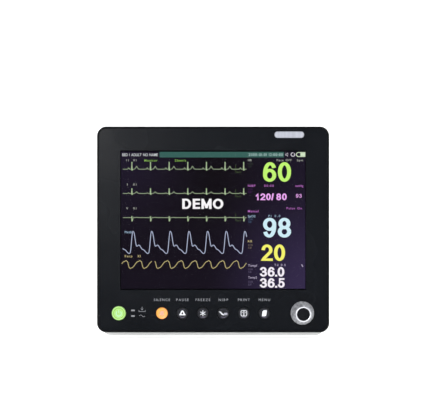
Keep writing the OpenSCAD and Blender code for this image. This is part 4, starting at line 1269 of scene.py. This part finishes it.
def build_back():
    """Blank type plate, and generic signs by the terminals."""
    plate_up = 128
    plate = plate_mesh([rounded_loop(0, plate_up, 62, 34, 2, 6)], -0.12, 0.05, 0.05, BACK)
    film = metal("plate_film", (0.5, 0.51, 0.53), (0.58, 0.59, 0.61), 0.4, (0.05, 1, 1), 300, 0.00001, 0.6)
    finish_piece("type_plate", plate, film, "monitor")
    border = rounded_loop(0, 0, 58, 30, 1.4, 5)
    rows = [[(-26, dz), (26, dz)] for dz in (7.5, 0, -7.5)]
    lines = []
    for line in [border + border[:1], *rows]:
        lines.append(ribbon_mesh([(dx, plate_up + dz) for dx, dz in line], 0.4, -0.17, 0.05, BACK))
    finish_piece("type_plate_lines", joined(lines), DARK_INK, "monitor")

    signs = []
    x = -middle_of("ground_post")[0]
    bars = [[(0, 4), (0, 0)]] + [[(-w, -1.4 * i), (w, -1.4 * i)] for i, w in enumerate((3.2, 2.1, 1.0))]
    signs += drawn(TERMINALS, x, 35, bars, 0.55)
    low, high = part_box("data_sockets")
    network = -(high.x - 8 * MM) / MM
    tree = [[(0, 3), (0, 1)], [(-4, -1), (-4, 1), (4, 1), (4, -1)]]
    boxes = [[(dx - 1.2, dz), (dx + 1.2, dz)] for dx, dz in ((0, 4), (-4, -2.2), (4, -2.2))]
    signs += drawn(TERMINALS, network, 35.4, tree, 0.5) + drawn(TERMINALS, network, 35.4, boxes, 2.0)
    port = -(low.x + 7 * MM) / MM
    stem = [(0, -3.4), (0, 4.2)]
    fork = [stem, [(0, -1.6), (2.2, 0.2), (2.2, 1.8)], [(0, -2.4), (-2.2, -0.6), (-2.2, 0.8)]]
    signs += drawn(TERMINALS, port, 35.4, fork, 0.5)
    finish_piece("terminal_signs", joined(signs), DARK_INK, "monitor")


NODES["sensor_panel"].data.materials[0] = MATERIALS["sensor_grey"]
# Radius of the edges of the CAD pieces that show, in mm
ROUNDED = {
    "rear_housing": 0.5, "carry_handle": 1.2, "recorder_door": 0.4, "battery_door": 0.4,
    "recorder_latch": 0.3, "sensor_panel": 0.35, "rear_panel": 0.2, "ecg_socket": 0.6, "spo2_socket": 0.6,
    "nibp_port": 0.5, "temp_sockets": 0.5, "mains_inlet": 0.4, "fuse_holders": 0.4, "ground_post": 0.3,
    "data_sockets": 0.2,
    "feet": 0.5, "handle_pins": 0.3, "platen_roller": 0.3, "paper_roll": 0.2, "battery_pack": 0.8,
}
for rounded_node, rounded_width in ROUNDED.items():
    round_edges(rounded_node, rounded_width)
build_sensor_side()
build_door_marks()
build_back()


# ---- stage

WHITE = (1.0, 1.0, 1.0, 1.0)
FLOOR_GLOW = 0.55


def build_stage():
    """Pale round floor that curves up into a wall all round, as in a studio cove."""
    flat_r, bend_r, wall_top, sides = 3.2, 1.4, 4.5, 96
    profile = [(0.0, 0.0), (0.6, 0.0), (flat_r, 0.0)]
    for i in range(1, 13):
        a = math.radians(90 * i / 12)
        profile.append((flat_r + bend_r * math.sin(a), bend_r - bend_r * math.cos(a)))
    profile.append((flat_r + bend_r, wall_top))
    mesh = lathe_mesh([(r / MM, z / MM) for r, z in profile], Vector((0, 0, 0)), "Z", sides)
    mesh.flip_normals()
    mesh.shade_smooth()
    floor = placed("floor", mesh)
    paint = material("floor_paint", (0.85, 0.85, 0.85), 0.9, specular_ior_level=0.0)
    give_light(paint, WHITE, FLOOR_GLOW)
    mesh.materials.append(paint)


def area_light(name, place, target, width, height, power, glossy=True):
    data = bpy.data.lights.new(name, "AREA")
    data.shape = "RECTANGLE"
    data.size = width
    data.size_y = height
    data.energy = power
    lamp = placed(name, data)
    lamp.location = place
    lamp.rotation_euler = (Vector(target) - Vector(place)).to_track_quat("-Z", "Y").to_euler()
    lamp.visible_glossy = glossy


def build_light():
    """Soft boxes above, in front and at both sides, and a narrow lamp for the panel's sheen."""
    world = bpy.data.worlds.new("studio")
    bpy.context.scene.world = world
    world.use_nodes = True
    world.node_tree.nodes["Background"].inputs["Color"].default_value = (0.93, 0.96, 1.0, 1.0)
    world.node_tree.nodes["Background"].inputs["Strength"].default_value = 0.4
    target = (0, 0, 0.14)
    area_light("top_box", (0, -0.3, 2.4), target, 2.4, 1.6, 11)
    area_light("left_box", (-2.2, -1.3, 1.2), target, 0.9, 1.6, 6.6)
    area_light("right_box", (2.2, -1.0, 1.0), target, 0.9, 1.6, 2.6)
    area_light("front_box", (0, -2.3, 0.22), (0, 0, 0.08), 1.6, 0.4, 10, glossy=False)
    area_light("panel_sheen", (-0.66, -3.1, 0.5), target, 0.08, 0.4, 15)


build_stage()
build_light()
bpy.context.scene.view_settings.view_transform = "Standard"
